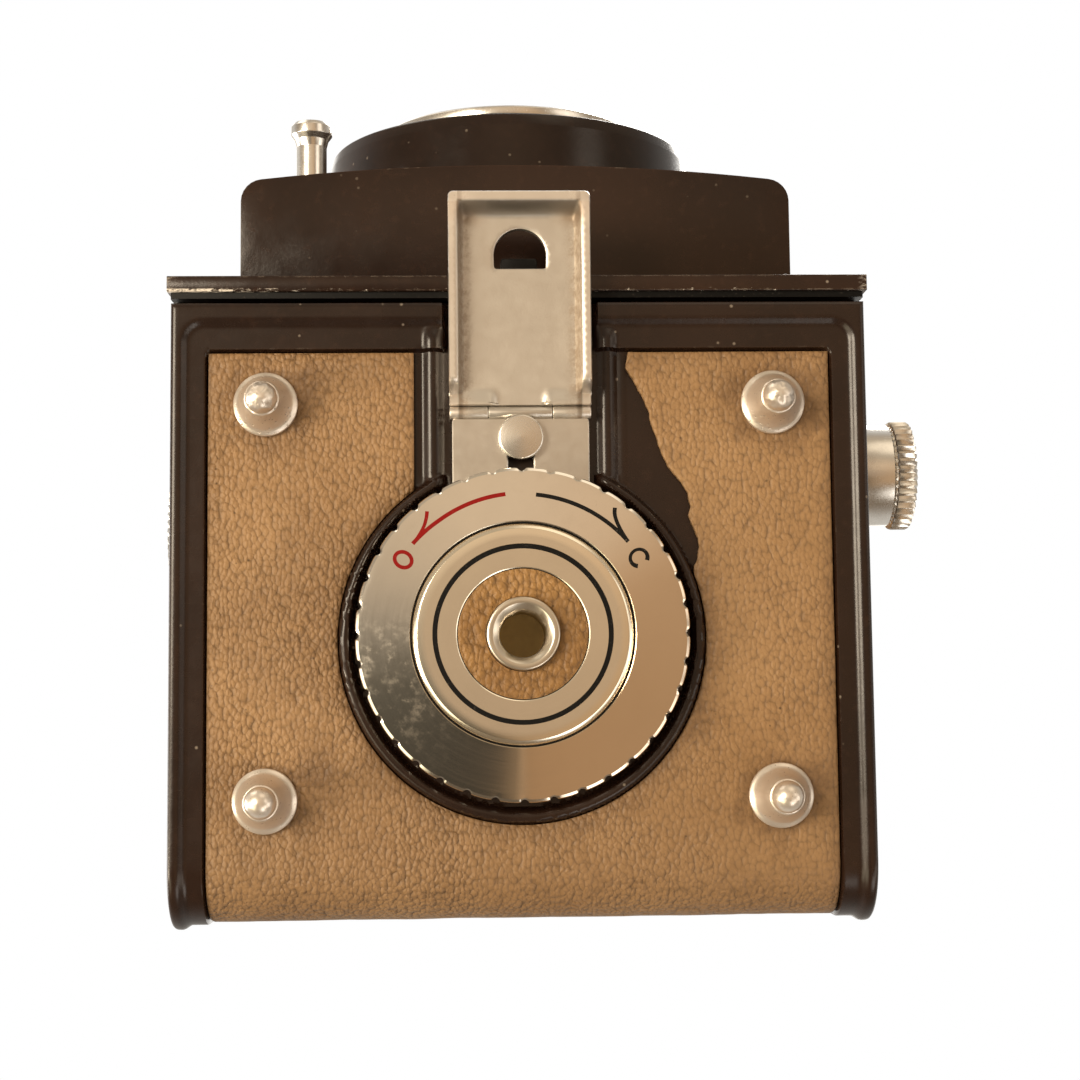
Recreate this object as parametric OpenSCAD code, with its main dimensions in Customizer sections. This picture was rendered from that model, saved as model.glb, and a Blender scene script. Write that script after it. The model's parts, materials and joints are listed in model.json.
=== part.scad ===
// Twin-lens reflex box camera, folded and locked.
// Origin: mouth of the tripod socket, on its axis. +Z up through the hood,
// the lenses face -Y, the winding side is -X.

/* [Body] */
// Width of the back door and body
body_w = 76; // [75.6:0.1:76.4]
// Overhang of the front flange past each side of the door
flange_over = 0.6; // [0.3:0.1:0.9]
// Rear face of the rails on the back
rear_y = 31.5; // [31.5:0.1:31.9]
// Corner radius between the bottom and the back
corner_r = 7; // [6:0.5:8]
// Height of the body casting above the socket mouth
body_top = 118; // [118:0.1:118.1]

/* [Bottom door] */
// Height of the rails and beads above the socket mouth
rail_z = 2.7; // [2.6:0.05:2.75]
// Half width of the leather on the bottom and back
leather_hw = 34; // [33.6:0.1:34.2]
// Outer radius of the bead round the lock dial
bead_r = 19.85; // [19.6:0.05:20.2]
// Depth of the feet below the socket mouth
foot_drop = 2.8; // [2.4:0.1:3.4]
// Radius of the flange of a foot
foot_r = 3.5; // [3.2:0.1:3.8]

/* [Lock dial] */
// Outer radius of the lock dial
dial_r = 17.9; // [17.6:0.05:18]
// Number of scallops round the lock dial
scallops = 36; // [30:1:48]
// Travel of the latch when the dial turns
latch_travel = 3.2; // [2.8:0.1:3.2]
// Turn of the dial between its stops
dial_turn = 60; // [50:5:60]

/* [Tripod socket] */
// Radius of the socket hole, 1/4 inch thread
socket_r = 2.5; // [2.5:0.05:2.6]
// Depth of the socket
socket_depth = 8; // [6:0.5:9]

/* [Lenses] */
// Height of the taking lens
take_z = 50; // [49.8:0.1:50.2]
// Height of the viewing lens
view_z = 92; // [91.8:0.1:92.2]
// Radius of the round shutter cover at its front
cover_r = 24; // [23:0.1:24.5]
// Radius of the bright ring round the taking lens
bezel_r = 17.6; // [17.4:0.1:18]

/* [Knobs] */
// Radius of the focusing knob
focus_r = 11; // [9:0.5:12]
// Radius of the winding knob
wind_r = 10; // [9:0.5:11]
// Radius of the knurled rim of the spool knobs
pull_r = 6.35; // [6.1:0.05:6.8]
// Travel of the focusing panel
focus_travel = 8; // [7:0.5:8]

/* [Hidden] */
$fn = 72;
half_w = body_w/2;
nudge = 0.01;
slack = 0.05; // radial play of a pin in its bore

// Layers of the door, as depths in from the rail face
leather_in = 0.8;
sheet_out = 1.5;
sheet_in = 2.7;
leather_z = rail_z + leather_in;
plate_z = rail_z + sheet_out;
inside_z = rail_z + sheet_in;
door_front = -36.5;
door_top = 112.3;

// Axes along X, as [y, z]
supply_axis = [-19.1, 19.5];
takeup_axis = [13, 89];
focus_y = -17;
focus_z = 63.5;
focus_axis = [focus_y, focus_z];
roller_axis = [22.2, 12];
strap_axis = [-2, 106];
door_hinge = [29.9, 114.8];
lid_hinge = [-35.2, 134.9];
back_flap_hinge = [23, 122];
magnifier_hinge = [-4.2, 134.9];
tab_hinge = [-24.2, 3.1];

// Axes along Y, as [x, z]
take_axis = [0, take_z];
view_axis = [0, view_z];
post_axes = [[28, 37], [28, 104]];
side_flap_hinge = [-29, 127];
flash_axis = [25, 71];
release_axis = [-24.6, 25.5];

// Axes along Z, as [x, y]
socket_axis = [0, 0];
stud_axis = [0, -21.4];
foot_axes = [for (x = [-27.7, 27.7], y = [-25.3, 17.5]) [x, y]];

// Radii of shafts and pins
axle_r = 2.4;
bush_r = 4.5;
focus_shaft_r = 2.5;
wind_shaft_r = 3;
post_r = 2;
lug_r = 2;
door_pin_r = 0.9;
lid_pin_r = 0.7;
flap_pin_r = 0.6;
tab_pin_r = 0.35;
tab_bore_r = 0.38;

// Outer and inner ends of the side leather, in from which the side holes are bushed
side_x = 37.9;
side_leather_x = 37.32;

// Lens panel: distance of its face in front of y = 0, and radius of its bowed front
panel_face = 54.9;
panel_bow = 263;

// Turn of the focusing cam over the travel of the panel
cam_turn = 280;

brown = [0.2, 0.13, 0.11];
black = [0.06, 0.06, 0.06];
leather_tan = [0.68, 0.54, 0.37];
satin = [0.72, 0.71, 0.68];
bright = [0.85, 0.85, 0.85];
spool_red = [0.35, 0.1, 0.08];
glass = [0.6, 0.68, 0.75, 0.5];

// ---- Helpers: x, y and z are spans [from, to]; a single number h means [-h, h] ----

function span(v) = is_num(v) ? [-v, v] : v;
function start(v) = span(v)[0];
function size(v) = span(v)[1] - span(v)[0];

module box(x, y, z) translate([start(x), start(y), start(z)]) cube([size(x), size(y), size(z)]);
module rod_x(x, axis, r)
  translate([start(x), axis[0], axis[1]]) rotate([0, 90, 0]) cylinder(r = r, h = size(x));
module rod_y(y, axis, r)
  translate([axis[0], span(y)[1], axis[1]]) rotate([90, 0, 0]) cylinder(r = r, h = size(y));
module rod_z(z, axis, r) translate([axis[0], axis[1], start(z)]) cylinder(r = r, h = size(z));

// plate along X with an outline drawn round its axis
module plate_x(x, axis, outline)
  translate([start(x), axis[0], axis[1]]) rotate([0, 90, 0])
    linear_extrude(size(x)) polygon(outline);

// side view, drawn as [y, z], extruded along X
module extrude_side(x)
  translate([start(x), 0, 0]) rotate([90, 0, 90]) linear_extrude(size(x)) children();

// part turned on a Y axis; profile points are [radius, distance in front of y = 0]
module turned(axis, profile)
  translate([axis[0], 0, axis[1]]) rotate([90, 0, 0]) rotate_extrude() polygon(profile);

module both() {
  children();
  mirror([1, 0, 0]) children();
}

function arc(centre, r, a0, a1, n) =
  [for (i = [0:n]) let(a = a0 + (a1 - a0)*i/n) centre + r*[cos(a), sin(a)]];

// lens surface from its rim to its axis, as [radius, place]; rise is the change at the rim
function lens_face(rim, apex, rise, n) =
  [for (i = [n:-1:0]) let(r = rim*i/n) [r, apex + rise*pow(r/rim, 2)]];

function knurl(r, teeth, depth) =
  [for (i = [0:2*teeth - 1]) (i % 2 == 0 ? r : r - depth)*[cos(180*i/teeth), sin(180*i/teeth)]];

function scallop(r, n, depth, steps) =
  [for (i = [0:n*steps - 1])
    (r - depth*pow(abs(cos(180*i/steps)), 1.4))*[cos(360*i/(n*steps)), sin(360*i/(n*steps))]];

// band along a spiral of radius r0 + rise*angle; out along one edge, back along the other
function spiral(r0, rise, a0, a1, half, n) =
  [for (edge = [1, -1], i = [0:n])
    let(a = a0 + (a1 - a0)*(edge > 0 ? i : n - i)/n)
      (r0 + rise*a + edge*half)*[cos(a - 90), sin(a - 90)]];

// ---- Side view shared by the body and the door ----

// bottom and back with the rounded corner, moved in by inset
module door_side(inset) {
  r = corner_r - min(inset, corner_r - 1);
  low = rail_z + inset;
  back = rear_y - inset;
  past = 60*sign(inset); // an inset outline runs past the open front and top
  translate([door_front - past, low])
    square([back - r - door_front + past, door_top - low + past]);
  translate([door_front, low + r]) square([back - door_front, door_top - low - r + past]);
  translate([back - r, low + r]) circle(r = r);
}

// bent sheet between two insets
module door_band(x, outer, inner) extrude_side(x) intersection() {
  translate([door_front, 0]) square([200, door_top]);
  difference() {
    door_side(outer);
    door_side(inner);
  }
}

module side_block(x, inset, y0, z1) extrude_side(x) intersection() {
  translate([y0, 0]) square([rear_y - y0, z1]);
  door_side(inset);
}

// ---- Body ----

module body_shell() color(brown) difference() {
  union() {
    difference() {
      union() {
        side_block(half_w - 0.1, 4.7, -37.9, body_top);
        side_block(36.4, 3.1, -36, 111.9);
      }
      box(35.7, [-36.1, 60], [-1, body_top - 1.6]);
      box(28, [-33.5, 21.5], [110, 130]);
      // recesses for the side leather
      both() box([37.3, 40], [-34, 23], [12, 114]);
    }
    both() box([33.1, 35.8], [22.4, 24], [18, 80]);
    box(35.8, [24, 27.5], [112.6, body_top - 1]);
    // door hinge knuckles
    for (x = [[20.2, 30], [-30, -20.2], [-6.8, 6.8]]) {
      box(x, [26, 28.6], [112.8, 116.8]);
      rod_x(x, door_hinge, 2);
      box(x, [28, door_hinge[0]], [113.6, 116.4]);
    }
  }
  rod_x(40, door_hinge, door_pin_r + slack);
  front_openings(-40);
  both() rod_x([35, 36.8], roller_axis, 1.06);
  both() rod_x([30, 40], strap_axis, lug_r + 0.02);
  for (x = [[30, 40], [-40, -30]]) rod_x(x, supply_axis, bush_r + 0.02);
  rod_x([30, 40], takeup_axis, bush_r + 0.02);
  rod_x([-40, -30], takeup_axis, wind_shaft_r + slack);
  rod_x([-40, -30], focus_axis, focus_shaft_r + slack);
}

// lens, guide post and slide bar holes through the front, cut from y0 back
module front_openings(y0) {
  y = [y0, -30];
  rod_y(y, take_axis, 9.5);
  rod_y(y, view_axis, 14);
  both() for (axis = post_axes) rod_y(y, axis, post_r + slack);
  box([-30.3, -28.1], y, [focus_z - 4.3, focus_z + 4.3]);
}

module front_flange() color(brown) difference() {
  box(half_w + flange_over, [-39.7, -37.95], [3.8, body_top]);
  front_openings(-41);
}

module light_baffle() color(black) difference() {
  hull() {
    box(11, [-36.05, -35.9], [39, 61]);
    box(28.8, [23.8, 24], [22, 78]);
  }
  hull() {
    box(10, [-37, -35.8], [40, 60]);
    box(27.8, [23.7, 24.5], [23, 77]);
  }
}

module film_gate() color(black) difference() {
  union() {
    box(35.5, [24.05, 25.5], [18, 80]);
    both() box([29.4, 30.6], [25, 26], [19, 79]);
  }
  box(27.8, [23, 27], [23, 77]);
}

module mirror_place() translate([0, -6, view_z]) rotate([45, 0, 0]) children();

module viewing_mirror() color(bright) mirror_place() box(26, [-26, 31], [-1.2, 0]);

module mirror_bracket() color(black) mirror_place() difference() {
  box(27.4, [-27, 31.6], [-2.2, 1]);
  box(26.1, [-26.1, 40], [-1.25, 2]);
}

module focusing_screen() color(glass)
  box(28.4, [-34.4, 22.4], [body_top + 0.05, body_top + 1.6]);

module side_leatherette() color(leather_tan) difference() {
  both() side_panel();
  rod_x([-40, -30], focus_axis, 15);
}

module side_panel() difference() {
  box([side_leather_x, side_x], [-33.9, 22.9], [12.1, 113.9]);
  for (axis = [supply_axis, takeup_axis]) rod_x([30, 40], axis, 7);
  rod_x([30, 40], strap_axis, 4.2);
}

module spool_bushes() color(satin) {
  for (axis = [supply_axis, takeup_axis]) difference() {
    union() {
      rod_x([34.6, side_x], axis, bush_r);
      rod_x([side_leather_x, 37.95], axis, 6);
    }
    rod_x([30, 40], axis, axle_r + slack);
  }
  // solid bush with a fixed axle on the winding side
  rod_x([-side_x, -34.4], supply_axis, bush_r);
  rod_x([-37.95, -side_leather_x], supply_axis, 6);
  rod_x([-34.6, -29], supply_axis, axle_r);
}

module strap_lugs() color(bright) both() {
  rod_x([35.2, 41.4], strap_axis, lug_r);
  rod_x([side_leather_x, 38.3], strap_axis, 4);
  rod_x([41.4, 42.6], strap_axis, 3.6);
  rod_x([34.2, 35.65], strap_axis, 3);
}

module door_hinge_pin() color(bright) rod_x(29.8, door_hinge, door_pin_r);

module latch_catch() color(brown) difference() {
  box(2, [-41.6, -39.72], [3.85, 7]);
  // notch in the front face, from its lower edge up
  translate([-3, -41.6, 3.85]) rotate([45, 0, 0]) cube([6, 0.9, 0.9]);
}

// ---- Lens panel ----

// plan outline moved in by inset: flat rear, bowed front, rounded front corners
function panel_outline(inset) =
  let(half = 31.7 - inset, bow_r = panel_bow - inset, centre_y = panel_bow - panel_face,
    corner = 2.6 - min(inset, 2), corner_x = half - corner,
    drop = sqrt(pow(bow_r - corner, 2) - pow(corner_x, 2)),
    turn = atan(drop/corner_x), reach = corner_x*bow_r/(bow_r - corner))
  concat([[half, -41.8], [-half, -41.8]],
    arc([-corner_x, centre_y - drop], corner, 180, 180 + turn, 6),
    [for (i = [-8:8]) let(x = reach*i/9) [x, centre_y - sqrt(bow_r*bow_r - x*x)]],
    arc([corner_x, centre_y - drop], corner, 360 - turn, 360, 6));

module lens_panel() color(brown) difference() {
  union() {
    difference() {
      union() {
        translate([0, 0, 13.3]) linear_extrude(101.7) polygon(panel_outline(0));
        rod_y([-panel_face, -52.6], take_axis, 25.4);
        rod_y([-panel_face, -52.6], view_axis, 20.8);
      }
      translate([0, 1.2, 14.8]) linear_extrude(98.7) polygon(panel_outline(1.5));
      box(30.2, [-46, -40], [14.8, 113.5]);
    }
    // seats of the guide posts and of the slide bar
    both() for (axis = post_axes) rod_y([-52.4, -49.6], axis, 2.4);
    box([-29.2, -22], [-52, -50.1], [focus_z - 4, focus_z + 4]);
  }
  rod_y([-60, -40], take_axis, 21);
  rod_y([-60, -40], view_axis, 18);
  rod_y([-60, -40], release_axis, 1.88);
  rod_y([-60, -50], flash_axis, 2.3);
}

module guide_posts() color(bright) both()
  for (axis = post_axes) rod_y([-49.6, -25], axis, post_r);

module focus_slide_bar() color(satin) {
  z = [focus_z - 4, focus_z + 4];
  box([-29.9, -28.4], [-49.4, focus_y - 1.5], z);
  box([-29.2, -22], [-50.1, -48.8], z);
  // follower pin
  rod_x([-33.7, -29.5], [focus_y - 4, focus_z], 0.9);
}

// ---- Lenses and shutter ----

module shutter_cover() color(brown) difference() {
  turned(take_axis, profile = [
    [14.1, 56.2], [14.1, 64.75], [cover_r - 1.3, 64.75], [cover_r - 0.5, 64.5],
    [cover_r, 63.8], [cover_r + 0.5, 58], [cover_r + 1.2, 54.93], [cover_r - 1, 54.93],
    [cover_r - 1, 62.6], [15, 62.6], [15, 56.2]]);
  // cut back where the viewing lens barrel stands
  rod_y([-70, -50], view_axis, 19.45);
}

module shutter_housing() color(black) turned(take_axis, profile = [
  [11, 45], [20.9, 45], [20.9, 54.95], [22.6, 54.95], [22.6, 56], [14, 56], [14, 67.25],
  [11.4, 67.25], [11.4, 57.2], [7.5, 57.2], [7.5, 55.4], [11, 55.4]]);

module lens_bezel() color(bright) turned(take_axis, profile = [
  [11.6, 67.3], [bezel_r, 67.3], [bezel_r, 68.2], [bezel_r - 0.35, 68.5],
  [13.6, 68.5], [12.2, 67.9], [11.6, 67.6]]);

module taking_lens_front() color(glass) turned(take_axis, profile = concat(
  [[0, 58.2], [11.3, 60.6], [11.3, 62.3]], lens_face(10.8, 65.2, -2.7, 10)));

module taking_lens_rear() color(glass) turned(take_axis, profile = concat(
  [[0, 50.6], [9.4, 51.6], [10.9, 51.6], [10.9, 49.2]], lens_face(9.4, 46, 2.4, 8)));

// five leaves that close the shutter, meeting at the centre
module shutter_blades() color(black) for (i = [0:4])
  translate([0, -52.6 - 0.22*i, take_z]) rotate([90, 0, 0]) linear_extrude(0.16)
    rotate(72*i) polygon(concat([[0, 0]], arc([0, 0], 10.6, -42, 42, 10)));

module viewing_lens_barrel() color(brown) turned(view_axis, profile = [
  [14, 46], [17.9, 46], [17.9, 54.92], [19.3, 54.92], [19.3, 65.4], [18.8, 66],
  [16.6, 66], [16, 65.2], [16, 62.6], [14, 62.6]]);

module viewing_lens_front() color(glass) turned(view_axis, profile = concat(
  [[0, 57.4], [13.9, 59.6], [13.9, 60.8]], lens_face(13.3, 63.9, -2.9, 10)));

module flash_socket() color(bright) turned(flash_axis, profile = [
  [0, 51], [2.2, 51], [2.2, 54.05], [3.4, 54.05], [3.4, 57], [2.4, 57], [2.4, 55.4],
  [0.9, 55.4], [0.9, 56.6], [0, 56.6]]);

module release_button() color(bright) turned(release_axis, profile = [
  [0, 44.5], [3, 44.5], [3, 45.6], [1.825, 45.6], [1.825, 60.9], [2.1, 61.5], [2.5, 62.2],
  [2.5, 63], [2.3, 63.5], [1.6, 63.6], [1.1, 63.2], [0, 63.1]]);

// ring behind the bezel; front is the distance of its face, angle that of its tab from the top
module control_ring(front, angle) {
  rear_face = -front + 0.75;
  tab_r = 22.6;
  translate([0, 0, take_z]) rotate([0, angle, 0]) difference() {
    union() {
      rod_y([-front, rear_face], [0, 0], 17.2);
      box(1.6, [-front, rear_face], [14, tab_r]);
      box(1.6, [-front - 2, rear_face], [tab_r - 1.2, tab_r]);
    }
    rod_y([-80, -60], [0, 0], 14.05);
  }
}

module aperture_ring() color(satin) control_ring(65.6, -52);
module speed_ring() color(satin) control_ring(66.45, 30);
module cocking_ring() color(bright) control_ring(67.24, 76);

// ---- Knobs, spools and roller ----

module focus_knob() color(bright) difference() {
  union() {
    plate_x([-46.2, -40.6], focus_axis, knurl(focus_r, 60, 0.35));
    rod_x([-40.6, -39.45], focus_axis, focus_r - 1.6);
  }
  rod_x([-44.6, -30], focus_axis, focus_shaft_r + 0.02);
  rod_x([-47, -45.7], focus_axis, focus_r - 2.2);
}

module focus_cam() color(satin) difference() {
  union() {
    rod_x([-44.5, -34.5], focus_axis, focus_shaft_r);
    rod_x([-34.6, -32.8], focus_axis, 13.4);
  }
  // spiral groove that drives the follower pin, opening on the inner face
  plate_x([-33.9, -30.9], focus_axis,
    spiral(4, focus_travel/cam_turn, -17, cam_turn + 9, 1.05, 60));
}

module focus_scale() color(satin) difference() {
  rod_x([-39.4, -38.05], focus_axis, 14);
  rod_x([-41, -30], focus_axis, focus_shaft_r + 0.03);
}

module wind_knob() color(bright) difference() {
  union() {
    plate_x([-49.5, -42], takeup_axis, knurl(wind_r, 56, 0.35));
    rod_x([-42, -39.2], takeup_axis, wind_r - 1.8);
    rod_x([-39.3, -38.05], takeup_axis, 6.4);
  }
  rod_x([-47.5, -30], takeup_axis, wind_shaft_r + 0.02);
  rod_x([-50, -48.9], takeup_axis, wind_r - 2.2);
}

module wind_shaft() color(satin) {
  rod_x([-47.4, -35], takeup_axis, wind_shaft_r);
  rod_x([-35.1, -29], takeup_axis, axle_r);
}

module spool(axis) difference() {
  union() {
    both() rod_x([32.1, 32.9], axis, 12.4);
    rod_x(32.5, axis, 4.8);
  }
  both() rod_x([28.5, 34], axis, axle_r + 0.06);
  box(27, [axis[0] - 0.7, axis[0] + 0.7], [axis[1] - 6, axis[1] + 6]);
}

module take_up_spool() color(spool_red) spool(takeup_axis);
module supply_spool() color(spool_red) spool(supply_axis);

module pull_knob(axis) difference() {
  union() {
    plate_x([43.7, 46], axis, knurl(pull_r, 42, 0.3));
    rod_x([38.05, 43.8], axis, pull_r - 0.4);
    rod_x([29, 38.1], axis, axle_r);
  }
  rod_x([45.5, 47], axis, pull_r - 1.2);
}

module supply_knob() color(bright) pull_knob(supply_axis);
module take_up_knob() color(bright) pull_knob(takeup_axis);

module film_roller() color(bright) {
  rod_x(34.5, roller_axis, 2.4);
  rod_x(36.6, roller_axis, 1);
}

// ---- Back door ----

// full-depth stretch of the door, kept where it meets the y and z spans
module thick_band(x, y, z) intersection() {
  door_band(x, 0, sheet_in);
  box(40, y, z);
}

module foot_holes() for (axis = foot_axes) rod_z([0, 9], axis, 1.22);

module back_door() color(brown) difference() {
  union() {
    door_band(36.7, sheet_out, sheet_in);
    both() {
      door_band([36.6, half_w], 0, 4.6);
      door_band([34.1, 36.7], 0, sheet_in);
    }
    thick_band(36.7, [-40, -31.1], [0, 8]);
    thick_band(36.7, [20, 40], [110, 113]);
    thick_band(11.5, [-40, -14], [0, 8]);
    rod_z([rail_z, plate_z + 0.3], [0, 0.4], bead_r);
    both() {
      rod_x([7, 20], door_hinge, 2);
      box([7, 20], [29, 30.4], [111, 114]);
    }
  }
  rod_z([0, plate_z], [0, 0.2], 18.4);
  box(8.1, [-40, 0], [0, plate_z]);
  rod_z([0, 9], socket_axis, 4);
  rod_z([0, 9], stud_axis, 1.32);
  foot_holes();
  rod_x(40, door_hinge, door_pin_r + slack);
}

module door_leatherette() color(leather_tan) difference() {
  intersection() {
    door_band(leather_hw, leather_in, sheet_out - nudge);
    box(40, [-31.05, 40], [0, 109.9]);
  }
  rod_z([0, 9], [0, 0.4], bead_r + 0.05);
  box(11.55, [-40, 0], [0, 9]);
  foot_holes();
}

// turned profile as [radius, z]: stem, flange, hollowed flank, rounded tip
module feet() color(bright) for (axis = foot_axes) translate(concat(axis, 0)) rotate_extrude()
  polygon(concat(
    [[0, 5.3], [1.2, 5.3], [1.2, leather_z], [foot_r, leather_z], [foot_r, leather_z - 0.45]],
    [for (i = [0:8]) let(t = i/8)
      [1.75 + (foot_r - 2.15)*pow(1 - t, 1.8),
        leather_z - 0.7 - (foot_drop + leather_z - 2.2)*t]],
    arc([0, -foot_drop + 1.5], 1.6, 0, -58, 6),
    [[0.72, -foot_drop], [0, -foot_drop]]));

module pressure_springs() color(satin) for (z = [34, 66]) translate([0, 0, z])
  linear_extrude(6) polygon([for (edge = [1, -1], i = [-8:8]) let(t = edge*i/8)
    [22*t, 28.75 - 0.6*(1 - t*t) - (edge > 0 ? 0 : 0.25)]]);

module pressure_plate() color(black) box(31, [26.3, 27.2], [19, 79]);

// ---- Tripod socket, lock dial and latch ----

module tripod_bush() color(bright) difference() {
  union() {
    rod_z([-0.6, 11], socket_axis, 3.95);
    rod_z([inside_z, inside_z + 1.2], socket_axis, 6.5);
  }
  rod_z([0, socket_depth], socket_axis, socket_r);
  translate([0, 0, -0.6 - nudge]) cylinder(r1 = 3.3, r2 = socket_r, h = 0.6 + 2*nudge);
}

module dial_boss() color(satin) difference() {
  union() {
    rod_z([0.4, 1.4], socket_axis, 11.95);
    rod_z([1.3, plate_z], socket_axis, 10.95);
  }
  rod_z([0, 9], socket_axis, 3.98);
  rod_z([0, 0.9], socket_axis, 7.05);
  // ring groove in the lower face
  difference() {
    rod_z([0, 0.6], socket_axis, 9.68);
    rod_z([0, 0.6], socket_axis, 9.12);
  }
}

module boss_washer() color(leather_tan) difference() {
  rod_z([0.35, 0.9], socket_axis, 7);
  rod_z([0, 9], socket_axis, 3.99);
}

module guide_stud() color(bright) {
  rod_z([1.6, 2.5], stud_axis, 2.45);
  rod_z([2.4, inside_z], stud_axis, 1.3);
}

module lock_dial() color(bright) difference() {
  union() {
    translate([0, 0, 0.8]) linear_extrude(1.7) polygon(scallop(dial_r, scallops, 0.35, 8));
    translate([0, 0, 0.5]) cylinder(r1 = 17.1, r2 = 17.5, h = 0.4);
  }
  rod_z([0, 1.42], socket_axis, 12.02);
  rod_z([0, 9], socket_axis, 11);
  translate([0, 0, 0.5 - nudge]) cylinder(r1 = 12.5, r2 = 12.02, h = 0.5);
  // spiral groove for the pin of the latch plate
  translate([0, 0, 1.5]) linear_extrude(3)
    polygon(spiral(13.2, latch_travel/dial_turn, -4, dial_turn + 4, 0.88, 24));
}

module latch_plate() color(satin) difference() {
  union() {
    box(7.45, [-23.3, -12.05], [2.6, 3.6]);
    rod_z([1.62, 2.7], [0, -13.2], 0.7);
    box(3.4, [-24.2, -23.2], [2.75, 3.45]);
    rod_x(3.4, tab_hinge, 0.75);
  }
  box(1.4, [-22.8, -16.6], [2, 4]);
  rod_x(9, tab_hinge, tab_bore_r);
}

module latch_tab() color(satin) difference() {
  union() {
    box(7.75, [-48.3, -25.2], [2.6, 3.6]);
    box(7.75, [-48.3, -47.3], [0.5, 3.6]);
    both() {
      box([6.75, 7.75], [-48.3, -27.2], [0.5, 3.6]);
      extrude_side([6.75, 7.75])
        polygon([[-27.3, 0.5], [-26.2, 1.1], [-25.4, 2.6], [-27.3, 2.7]]);
      rod_x([3.6, 7.7], tab_hinge, 0.75);
      box([3.6, 7.7], [-25.3, -24.2], [2.75, 3.45]);
    }
  }
  // window: a disc with its rear cut straight
  intersection() {
    rod_z([0, 6], [0.1, -41.7], 2.9);
    box(4, [-50, -40.1], [0, 6]);
  }
  rod_x(9, tab_hinge, tab_bore_r);
}

module tab_hinge_pin() color(bright) rod_x(7.7, tab_hinge, tab_pin_r);

// ---- Hood ----

module hood_base() color(brown) difference() {
  wall_z = body_top + 2;
  union() {
    box(32.5, [-36.8, 25.2], [body_top, body_top + 2.5]);
    box(31.5, [24.3, 25.2], [wall_z, 127.8]);
    box(31.5, [-36.8, -35.9], [wall_z, 133.2]);
    both() {
      box([30.6, 31.5], [-36.8, 25.2], [wall_z, 128.3]);
      box([30.6, 31.5], [-36.4, -33.4], [125, lid_hinge[1]]);
      rod_x([30.6, 31.5], lid_hinge, 1.2);
      for (y = [[-33, -30.6], [20.4, 21.8]]) box([27.8, 31.5], y, [wall_z, 128.3]);
      box([28, 31], [22, 24.5], [wall_z, 123.2]);
    }
  }
  box(27, [-33, 21], [110, 130]);
  box(28.5, [-34.5, 22.5], [110, body_top + 1.7]);
  rod_x(40, lid_hinge, lid_pin_r + slack);
  both() rod_y([-33.5, 22.2], side_flap_hinge, flap_pin_r + slack);
  rod_x(30.6, back_flap_hinge, flap_pin_r + slack);
}

module hood_hinge_pins() color(bright) {
  rod_x(31.4, lid_hinge, lid_pin_r);
  both() rod_y([-32.9, 21.7], side_flap_hinge, flap_pin_r);
  rod_x(30.4, back_flap_hinge, flap_pin_r);
}

module hood_lid() color(brown) difference() {
  union() {
    box(32.5, [-36.7, 25.2], [136.2, 137.2]);
    box(32.5, [24.3, 25.2], [128.4, 136.5]);
    both() {
      box([31.7, 32.5], [-35, 25.2], [127.3, 136.5]);
      rod_x([24, 30.2], lid_hinge, 1.3);
      box([24, 30.2], [lid_hinge[0] - 1, lid_hinge[0] + 1], [lid_hinge[1], 136.4]);
      box([15.4, 16.8], [-5.3, -3.1], [magnifier_hinge[1], 136.4]);
      rod_x([15.4, 16.8], magnifier_hinge, 1.1);
    }
  }
  rod_x(40, lid_hinge, lid_pin_r + slack);
  rod_x(20, magnifier_hinge, flap_pin_r + slack);
}

// flap on the -X side, reaching inwards; narrower near the lid hinge
module side_flap() difference() {
  x = side_flap_hinge[0];
  union() {
    translate([0, 0, side_flap_hinge[1]]) linear_extrude(0.8) polygon([
      [x, -30.2], [-11.4, -30.2], [-1.8, -23], [-0.3, -21.6], [-0.3, 20.2], [x, 20.2]]);
    rod_y([-30.2, 20.2], side_flap_hinge, 1.3);
  }
  rod_y([-40, 30], side_flap_hinge, flap_pin_r + slack);
}

module hood_left_flap() color(brown) side_flap();
module hood_right_flap() color(brown) mirror([1, 0, 0]) side_flap();

module hood_back_flap() color(brown) difference() {
  union() {
    translate([0, 0, back_flap_hinge[1]]) linear_extrude(0.8) polygon([
      [-27.5, 23], [-27.5, 18], [-17.4, 3], [-9.2, -7],
      [9.2, -7], [17.4, 3], [27.5, 18], [27.5, 23]]);
    rod_x(27.5, back_flap_hinge, 1.1);
  }
  rod_x(40, back_flap_hinge, flap_pin_r + slack);
}

module magnifier_frame() color(black) difference() {
  union() {
    box(14.8, [-3, 18.5], [133.6, 136]);
    box(14.8, [-4.2, -2.5], [134.2, 135.6]);
    rod_x(16.7, magnifier_hinge, flap_pin_r);
    rod_x(15, magnifier_hinge, 1);
  }
  rod_z([130, 140], [0, 8], 9.4);
}

module magnifier_lens() color(glass) translate([0, 8, 0]) rotate_extrude()
  polygon(concat([[0, 133.9], [9.35, 133.9]], lens_face(9.35, 135.7, -1.2, 8)));

body_shell();
front_flange();
light_baffle();
film_gate();
viewing_mirror();
mirror_bracket();
focusing_screen();
side_leatherette();
spool_bushes();
strap_lugs();
door_hinge_pin();
hood_base();
hood_hinge_pins();
latch_catch();
lens_panel();
guide_posts();
focus_slide_bar();
shutter_cover();
shutter_housing();
lens_bezel();
taking_lens_front();
taking_lens_rear();
shutter_blades();
viewing_lens_barrel();
viewing_lens_front();
flash_socket();
release_button();
aperture_ring();
speed_ring();
cocking_ring();
focus_knob();
focus_cam();
focus_scale();
wind_knob();
wind_shaft();
take_up_spool();
supply_spool();
supply_knob();
take_up_knob();
film_roller();
back_door();
door_leatherette();
feet();
tripod_bush();
dial_boss();
boss_washer();
guide_stud();
pressure_springs();
pressure_plate();
lock_dial();
latch_plate();
latch_tab();
tab_hinge_pin();
hood_lid();
hood_left_flap();
hood_right_flap();
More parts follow.
